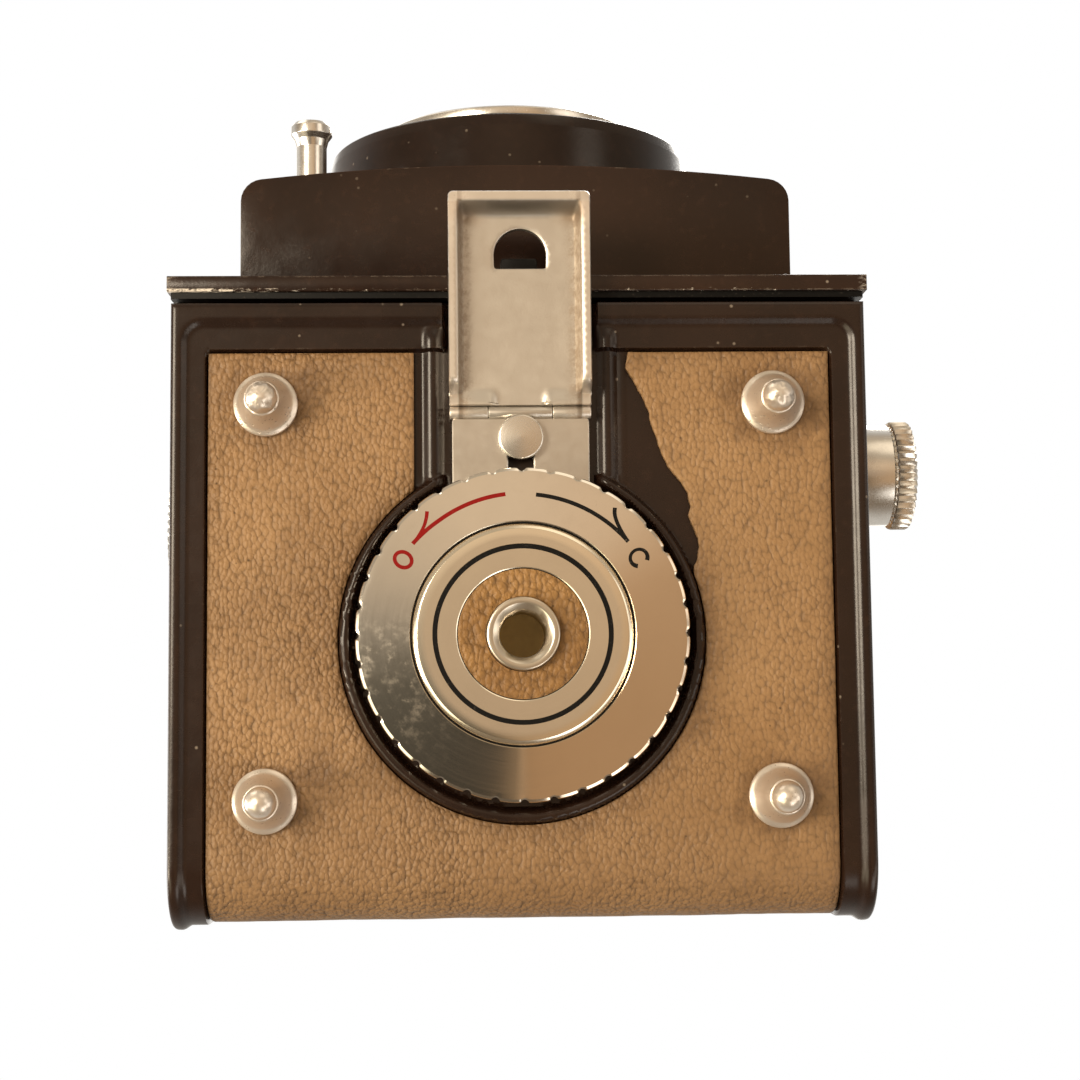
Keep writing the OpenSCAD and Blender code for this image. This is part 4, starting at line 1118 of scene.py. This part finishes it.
def build_tab():
    X0, X1, Y0, Y1 = -7.75, 7.75, -48.3, -24.95
    out = resample(fillet([(X0, Y0, 0.55), (X1, Y0, 0.55), (X1, Y1, 0.1), (X0, Y1, 0.1)], 6), 0.45)
    # arch-shaped window, its flat side towards the hinge
    hole = [(0.1 + 2.9 * cos(a), -41.7 + 2.9 * sin(a)) for a in np.linspace(pi, 2 * pi, 30)]
    hole = resample(hole + fillet([(2.98, -40.9), (2.96, -40.12, 0.3), (-2.76, -40.12, 0.3), (-2.78, -40.9)], 4), 0.4)
    a, b = inpoly(out), inpoly(hole)
    ins = lambda x, y: a(x, y) and not b(x, y)

    def loop(off, yb, r):
        return resample(fillet([(X0 + off, Y0 + off, r), (X1 - off, Y0 + off, r), (X1 - off, yb, 0.2), (X0 + off, yb, 0.2)], 5), 0.45)

    lines = [loop(o, Y1 - 0.06 - o * 0.12, q) for o, q in ((0.10, 0.5), (0.90, 0.30), (1.02, 0.25), (1.16, 0.25), (1.32, 0.3), (1.50, 0.35), (1.68, 0.4), (1.88, 0.5), (2.15, 0.6), (2.5, 0.7))]
    hr = [(0.1 + (x - 0.1) * 1.05, -41.5 + (y + 41.5) * 1.06) for x, y in hole]
    lines.append(hr)
    dh = dist_to(hole)
    grid = []
    for j, y in enumerate(np.arange(Y0 + 0.3, Y1 - 0.1, 0.42)):
        for x in np.arange(X0 + 0.25 + (j % 2) * 0.2, X1 - 0.2, 0.42):
            e = min(x - X0, X1 - x, y - Y0)
            if ins(x, y) and dh(x, y) > 0.25 and (0.3 < e < 0.75 or e > 2.75):
                grid.append((x, y))

    def height(x, y):
        """height of the visible face above the floor of the tray, 2.1 at the rims"""
        ex = min(x - X0, X1 - x)
        ef = y - Y0
        # side rims taper off at the rear
        side = 2.1 * (1 - float(ss(y, -27.6, -25.9)))
        inner_s, inner_f = 1.0, 1.0
        hs_ = side * (1 - float(ss(ex, inner_s - 0.08, inner_s + 0.72)))
        hf = 2.1 * (1 - float(ss(ef, inner_f - 0.08, inner_f + 1.42)))
        h = 2.1 * (1 - (1 - min(1, hs_ / 2.1)) * (1 - min(1, hf / 2.1)))
        # floor rises towards the hinge
        r = 0.55 * float(ss(y, -27.0, -25.1)) * float(ss(abs(x), 2.45, 3.3))
        h = max(h, r)
        # slight dish of the floor
        h -= 0.05 * float(ss(ex, 1.6, 4.5)) * float(ss(ef, 2.0, 5.0)) * (1 - float(ss(y, -29, -26)))
        return h

    def top(x, y, on):
        z = 2.6 - height(x, y) + 0.012 * mn.noise(Vector((x * 0.5, y * 0.5, 7)))
        if on:
            z += 0.16 if not b(x, y) and dh(x, y) > 0.05 else 0.08
        return (x, y, z)

    body = sheet([out, hole], ins, grid, top, lambda x, y: (x, y, 3.6), lines)
    V, F = join(body, knuckle(3.52, 7.72, 0.73), knuckle(-7.72, -3.52, 0.73))
    make("latch_tab_stamped", V, F, "tab", "latch_tab", smooth=38)


build_tab()


# ------------------------------------------------------------------ front
def build_front():
    prof = [(14.12, 56.2), (14.12, 64.6), (14.3, 64.75), (22.5, 64.75), (22.85, 64.7), (23.3, 64.55), (23.7, 64.25), (23.95, 63.85), (24.05, 63.3), (24.5, 58.2), (24.75, 56.6), (25.15, 55.2),
            (25.2, 54.93), (23, 54.93), (23, 62.6), (15, 62.6), (15, 56.2)]
    prof = fillet([(14.12, 56.2), (14.12, 64.75, 0.15), (22.7, 64.75, 0.15), (22.95, 65.35, 0.2), (23.75, 65.35, 0.35), (24.0, 63.9, 0.3), (24.55, 57.6, 0.6), (25.2, 54.93), (23, 54.93), (23, 62.6), (15, 62.6), (15, 56.2)], 6)
    V, F = lathe(prof, yaxis(0, 50), 144)
    # cut back where the viewing lens barrel stands
    W = []
    for x, y, z in V:
        q = math.hypot(x, z - 92)
        if q < 19.42:
            s = 19.42 / q
            x, z = x * s, 92 + (z - 92) * s
        W.append((x, y, z))
    make("shutter_cover_turned", W, F, "brown_ring", "shutter_cover", smooth=40)
    prof = fillet([(11.6, 67.3), (17.55, 67.3, 0.1), (17.55, 68.2, 0.12), (17.25, 68.45, 0.1), (16.3, 68.5), (16.2, 68.42), (16.05, 68.42), (15.95, 68.5), (13.6, 68.5, 0.2), (12.2, 67.9), (11.6, 67.6)], 3)
    V, F = lathe(prof, yaxis(0, 50), 128)
    make("lens_bezel_turned", V, F, "bright", "lens_bezel", smooth=30)
    prof = [(14, 46), (17.9, 46), (17.9, 54.92), (19.3, 54.92), (19.3, 63.2), (19.1, 63.35), (19.1, 63.7), (19.3, 63.85), (19.3, 65.3), (19.1, 65.7), (18.7, 65.96), (18.3, 66), (17, 66), (16.6, 65.9), (16.1, 65.3), (16, 62.6), (14, 62.6)]
    V, F = lathe(prof, yaxis(0, 92), 128)
    make("viewing_lens_barrel_turned", V, F, "brown_ring", "viewing_lens_barrel", smooth=35)

    def kn(a, r, w):
        return r

    prof = fillet([(0, 44.5), (3, 44.5), (3, 45.6), (1.825, 45.6), (1.825, 60.6, 0.4), (2.05, 61.5, 0.3), (2.5, 62.1, 0.12), (2.5, 63.1, 0.15), (2.2, 63.55, 0.1), (1.55, 63.6, 0.15), (1.1, 63.2, 0.2), (0, 63.05)], 3)
    V, F = lathe(prof, yaxis(-24.6, 25.5), 104, kn)
    make("release_button_turned", V, F, "bright", "release_button", smooth=32)


build_front()


def build_lip():
    """Black strip set in the gap between the front flange and the body, round the bottom and both sides: painted shade
    of the gap.
    """
    parts = []
    for x0, x1, z0, z1 in ((-38.25, 38.25, 4.3, 6.2), (-38.25, -37.5, 6.2, 117.2), (37.5, 38.25, 6.2, 117.2)):
        pr = fillet([(x0, z0, 0.3), (x1, z0, 0.3), (x1, z1, 0.3), (x0, z1, 0.3)], 3)
        n = len(pr)
        vv = [(x, y, z) for y in (-37.97, -37.25) for x, z in pr]
        ff = [list(range(n)), [n + i for i in reversed(range(n))]] + [[i, (i + 1) % n, n + (i + 1) % n, n + i] for i in range(n)]
        parts.append((vv, ff))
    V, F = join(*parts)
    make("flange_gap_painted_shade", V, F, "black_line", body="camera_body", slot="black_paint", smooth=40)


build_lip()


# ------------------------------------------------------------------ knobs
def teeth(n, d, sharp=1.0):
    def f(a):
        ph = (a * n / (2 * pi)) % 1.0
        return d * abs(ph * 2 - 1) ** sharp
    return f


def build_knobs():
    for nm, node, (y, z) in (("supply_knob_turned", "supply_knob", (-19.1, 19.5)), ("take_up_knob_turned", "take_up_knob", (13.0, 89.0))):
        t = teeth(42, 0.42, 0.8)

        def mod(a, r, w, t=t):
            return r - (t(a) if r > 5.97 and w > 43.55 else 0)

        prof = fillet([(0, 29), (2.4, 29), (2.4, 38.07), (5.95, 38.07, 0.1), (5.95, 43.35), (5.7, 43.55), (6.2, 43.7, 0.05), (6.35, 43.95), (6.35, 45.7), (6.15, 45.95, 0.05), (5.6, 46.0, 0.1), (5.15, 45.85), (5.0, 45.55), (3.6, 45.5), (3.45, 45.38), (3.2, 45.38), (3.05, 45.5), (1.6, 45.55), (0, 45.65)], 2)
        V, F = lathe(prof, xaxis(y, z), 42 * 8, mod)
        make(nm, V, F, "bright", node, smooth=32)
    t = teeth(60, 0.42, 0.8)
    prof = fillet([(2.53, -39.46), (9.4, -39.46), (9.4, -40.6), (10.6, -40.62), (11.0, -40.95), (11.0, -45.8), (10.7, -46.15, 0.1), (9.3, -46.2, 0.1), (8.8, -45.9), (8.7, -45.72), (6.6, -45.72), (6.45, -45.6), (6.2, -45.6), (6.05, -45.72), (3.4, -45.72), (3.2, -45.6), (2.9, -45.6), (2.7, -45.75), (1.2, -45.95), (0, -46.0), (0, -44.62), (2.53, -44.62)], 2)
    V, F = lathe(prof, xaxis(-17, 63.5), 60 * 6, lambda a, r, w: r - (t(a) if r > 10.55 else 0))
    make("focus_knob_turned", V, F, "bright", "focus_knob", smooth=32)
    t2 = teeth(56, 0.42, 0.8)
    prof = fillet([(3.03, -38.06), (6.4, -38.06), (6.4, -39.3), (8.2, -39.3), (8.2, -42.0), (9.6, -42.02), (10.0, -42.35), (10.0, -49.1), (9.7, -49.45, 0.1), (8.4, -49.5, 0.1), (7.9, -49.2), (7.8, -48.92), (6.0, -48.92), (5.85, -48.8), (5.6, -48.8), (5.45, -48.92), (3.4, -48.92), (3.2, -48.8), (2.9, -48.8), (2.7, -48.95), (1.2, -49.15), (0, -49.2), (0, -47.52), (3.03, -47.52)], 2)
    V, F = lathe(prof, xaxis(13, 89), 56 * 6, lambda a, r, w: r - (t2(a) if r > 9.55 else 0))
    make("wind_knob_turned", V, F, "bright", "wind_knob", smooth=32)
    # distance ticks on the focus scale disc, numberless
    parts = []
    for i in range(41):
        a = math.radians(100 + i * 7)
        r0, r1 = (11.7, 13.6) if i % 4 == 0 else (12.7, 13.6)
        w = 0.16 if i % 4 == 0 else 0.10
        c, s = cos(a), sin(a)
        pr = [(r0, -w), (r1, -w), (r1, w), (r0, w)]
        vv = [(x, -17 + r * c - q * s, 63.5 + r * s + q * c) for x in (-39.43, -39.38) for r, q in pr]
        parts.append((vv, [[0, 1, 2, 3], [7, 6, 5, 4], [0, 4, 5, 1], [1, 5, 6, 2], [2, 6, 7, 3], [3, 7, 4, 0]]))
    V, F = join(*parts)
    make("focus_scale_ticks", V, F, "black_mark", body="focus_drive", slot="satin_metal", smooth=30)


build_knobs()

# ------------------------------------------------------------------ CAD nodes that stay
LOOK = {"brown_paint": "brown", "tan_leather": "leather_side", "black_paint": "black", "satin_metal": "satin", "bright_metal": "bright",
        "glass": "glass", "mirror": "mirror", "spool_paint": "spool"}
OWN = {"front_flange": "brown_flange", "lens_panel": "brown_front", "body_shell": "brown", "focusing_screen": "screen", "latch_catch": "black_line"}
BEVEL = {"lens_panel": 0.7, "front_flange": 0.6, "body_shell": 0.45, "hood_lid": 0.35, "hood_base": 0.25, "strap_lugs": 0.3, "focus_scale": 0.15,
         "aperture_ring": 0.12, "speed_ring": 0.12, "cocking_ring": 0.12, "hood_left_flap": 0.15, "hood_right_flap": 0.15, "hood_back_flap": 0.15,
         "magnifier_frame": 0.2, "latch_catch": 0.2, "take_up_spool": 0.15, "supply_spool": 0.15, "shutter_housing": 0.15, "pressure_plate": 0.2,
         "spool_bushes": 0.12, "film_roller": 0.15, "flash_socket": 0.1, "focus_slide_bar": 0.15, "wind_shaft": 0.15, "focus_cam": 0.15}
for n, o in NODES.items():
    if o.hide_render:
        continue
    me = o.data
    me.materials.clear()
    me.materials.append(M[OWN.get(n, LOOK[SLOT_OF[n]])])
    if me.has_custom_normals:
        at = me.attributes.get("custom_normal")
        if at:
            me.attributes.remove(at)
    me.polygons.foreach_set("use_smooth", [True] * len(me.polygons))
    wd = o.modifiers.new("weld", "WELD")
    wd.merge_threshold = 2e-6
    if n in BEVEL:
        dc = o.modifiers.new("dissolve", "DECIMATE")
        dc.decimate_type = "DISSOLVE"
        dc.angle_limit = math.radians(0.3)
        bv = o.modifiers.new("bevel", "BEVEL")
        bv.width = BEVEL[n] * K
        bv.segments = 3
        bv.limit_method = "ANGLE"
        bv.angle_limit = math.radians(40)
        bv.use_clamp_overlap = True
        bv.harden_normals = False
        tr = o.modifiers.new("triangles", "TRIANGULATE")
    me.set_sharp_from_angle(angle=math.radians(32))
    me.update()


# ------------------------------------------------------------------ floor, light and camera
def stage():
    zf = CAD_BOX[0][2]
    me = bpy.data.meshes.new("floor")
    s = 3.0
    me.from_pydata([(-s, -s, zf), (s, -s, zf), (s, s, zf), (-s, s, zf)], [], [[0, 1, 2, 3]])
    fl = bpy.data.objects.new("floor", me)
    bpy.context.scene.collection.objects.link(fl)
    m = Mat("floor_paper")
    base = m.mix(m.noise(0.02, 3), (0.80, 0.79, 0.77), (0.84, 0.83, 0.81))
    m.set(Base_Color=base, Roughness=0.7, Normal=m.bump(m.noise(1.5, 3), 0.02, 0.3))
    g = m.t.nodes.new("ShaderNodeNewGeometry")
    tb = m.t.nodes.new("ShaderNodeBsdfTransparent")
    mx = m.t.nodes.new("ShaderNodeMixShader")
    m.put(mx.inputs[0], g.outputs["Backfacing"])
    m.put(mx.inputs[1], m.b.outputs[0])
    m.put(mx.inputs[2], tb.outputs[0])
    m.put(m.out.inputs[0], mx.outputs[0])
    me.materials.append(m.m)
    fl.visible_diffuse = fl.visible_glossy = fl.visible_transmission = fl.visible_shadow = False


stage()


def world():
    w = bpy.data.worlds.new("room")
    bpy.context.scene.world = w
    w.use_nodes = True
    t = w.node_tree
    t.nodes.clear()
    b = Mat.__new__(Mat)
    b.t = t
    b.out = t.nodes.new("ShaderNodeOutputWorld")
    tc = t.nodes.new("ShaderNodeTexCoord")
    d = b.vm("NORMALIZE", tc.outputs["Generated"])
    x, y, z = b.xyz(d)
    down = b.step(z, -0.2, -0.95)
    base = b.mix(b.step(z, -0.35, 0.55), (0.27, 0.20, 0.135), (0.78, 0.73, 0.66))
    base = b.mix(b.mul(b.step(y, -0.15, -0.75), b.step(z, 0.3, -0.1)), base, (0.62, 0.50, 0.36))
    # what a face turned down and slightly outward sees, by direction
    a = b.ma("ARCTAN2", x, b.mul(y, -1.0))
    f = b.ma("FRACT", b.add(b.mul(a, 1 / (2 * pi)), 1.0))
    around = b.ramp(f, [(0.0, (0.93, 0.69, 0.46)), (0.11, (0.88, 0.61, 0.38)), (0.19, (0.72, 0.48, 0.28)), (0.30, (0.66, 0.425, 0.235)), (0.44, (0.64, 0.405, 0.22)),
                        (0.497, (0.60, 0.38, 0.205)), (0.507, (0.115, 0.090, 0.062)), (0.58, (0.105, 0.086, 0.060)), (0.70, (0.17, 0.145, 0.105)), (0.785, (0.36, 0.29, 0.21)),
                        (0.85, (0.70, 0.53, 0.36)), (0.95, (0.92, 0.68, 0.45))])
    cone = b.step(z, -0.78, -0.93)
    col = b.mix(cone, base, around)
    core = b.step(z, -0.982, -0.995)
    col = b.mix(b.mul(core, 0.80), col, (0.57, 0.415, 0.285))

    def blob(dx, dy, dz, w0, w1, c, s):
        nonlocal col
        v = Vector((dx, dy, dz)).normalized()
        k = b.step(b.vm("DOT_PRODUCT", d, tuple(v)), cos(math.radians(w1)), cos(math.radians(w0)), 0.0, 1.0)
        col = b.mix(k, col, tuple(q * s for q in c))

    blob(-0.82, 0.57, -0.78, 8, 17, (1.0, 0.88, 0.60), 4.0)
    blob(-1.0, 0.10, -0.78, 8, 17, (1.0, 0.84, 0.62), 3.2)
    blob(0.50, 0.87, -0.78, 8, 16, (1.0, 0.93, 0.84), 4.0)
    blob(0.87, 0.50, -0.78, 7, 15, (1.0, 0.88, 0.74), 2.6)
    blob(0.95, -0.35, -0.80, 7, 16, (1.0, 0.86, 0.70), 2.0)
    blob(-1.0, 0.12, -0.36, 7, 17, (1.0, 0.88, 0.72), 3.0)
    blob(1.0, 0.12, -0.36, 7, 17, (1.0, 0.90, 0.78), 2.8)
    blob(0.35, -1.0, -0.55, 10, 22, (1.0, 0.83, 0.62), 1.6)
    blob(-0.6, -1.0, 0.1, 8, 20, (1.0, 0.9, 0.75), 3.0)
    blob(0.2, -0.3, 1.0, 22, 42, (1.0, 0.97, 0.92), 2.6)
    lp = t.nodes.new("ShaderNodeLightPath")
    bg1, bg2 = t.nodes.new("ShaderNodeBackground"), t.nodes.new("ShaderNodeBackground")
    b.put(bg1.inputs[0], col)
    bg1.inputs[1].default_value = 0.80
    bg2.inputs[0].default_value = (1, 1, 1, 1)
    mx = t.nodes.new("ShaderNodeMixShader")
    b.put(mx.inputs[0], lp.outputs["Is Camera Ray"])
    b.put(mx.inputs[1], bg1.outputs[0])
    b.put(mx.inputs[2], bg2.outputs[0])
    b.put(b.out.inputs[0], mx.outputs[0])


world()


def area(name, loc, target, size, power, col):
    li = bpy.data.lights.new(name, "AREA")
    li.shape = "DISK"
    li.size = size
    li.energy = power
    li.color = col
    o = bpy.data.objects.new(name, li)
    bpy.context.scene.collection.objects.link(o)
    o.location = loc
    o.rotation_mode = "QUATERNION"
    o.rotation_quaternion = (Vector(target) - Vector(loc)).to_track_quat("-Z", "Y")
    o.visible_camera = False
    return o


area("key_below", (-0.34, -0.10, -0.42), (0, 0, 0), 0.22, 2.0, (1.0, 0.86, 0.67))
area("rake_left", (-0.50, 0.12, -0.20), (0, 0, 0), 0.12, 1.3, (1.0, 0.84, 0.62))
area("key_above", (0.35, -0.55, 0.75), (0, 0, 0.06), 0.5, 7.0, (1.0, 0.96, 0.90))
area("fill_left", (-0.8, 0.1, 0.35), (0, 0, 0.06), 0.5, 4.0, (1.0, 0.95, 0.88))

cam = bpy.data.cameras.new("camera")
cam.sensor_width = 36
cam.lens = 63.593
cam.clip_start = 0.005
cam.clip_end = 20
co = bpy.data.objects.new("camera", cam)
bpy.context.scene.collection.objects.link(co)
rx, ry, rz = (math.radians(v) for v in (-5.4, -2.0, -0.43))
R = Matrix.Rotation(rz, 3, "Z") @ Matrix.Rotation(ry, 3, "Y") @ Matrix.Rotation(rx, 3, "X")
right, dwn, fwd = R[0], R[1], R[2]
co.matrix_world = Matrix((
    (right.x, -dwn.x, -fwd.x, -5.23 * K),
    (right.y, -dwn.y, -fwd.y, 9.19 * K),
    (right.z, -dwn.z, -fwd.z, -202.73 * K),
    (0, 0, 0, 1),
))
bpy.context.scene.camera = co
bpy.context.scene.view_settings.view_transform = "Standard"

bpy.context.view_layer.update()
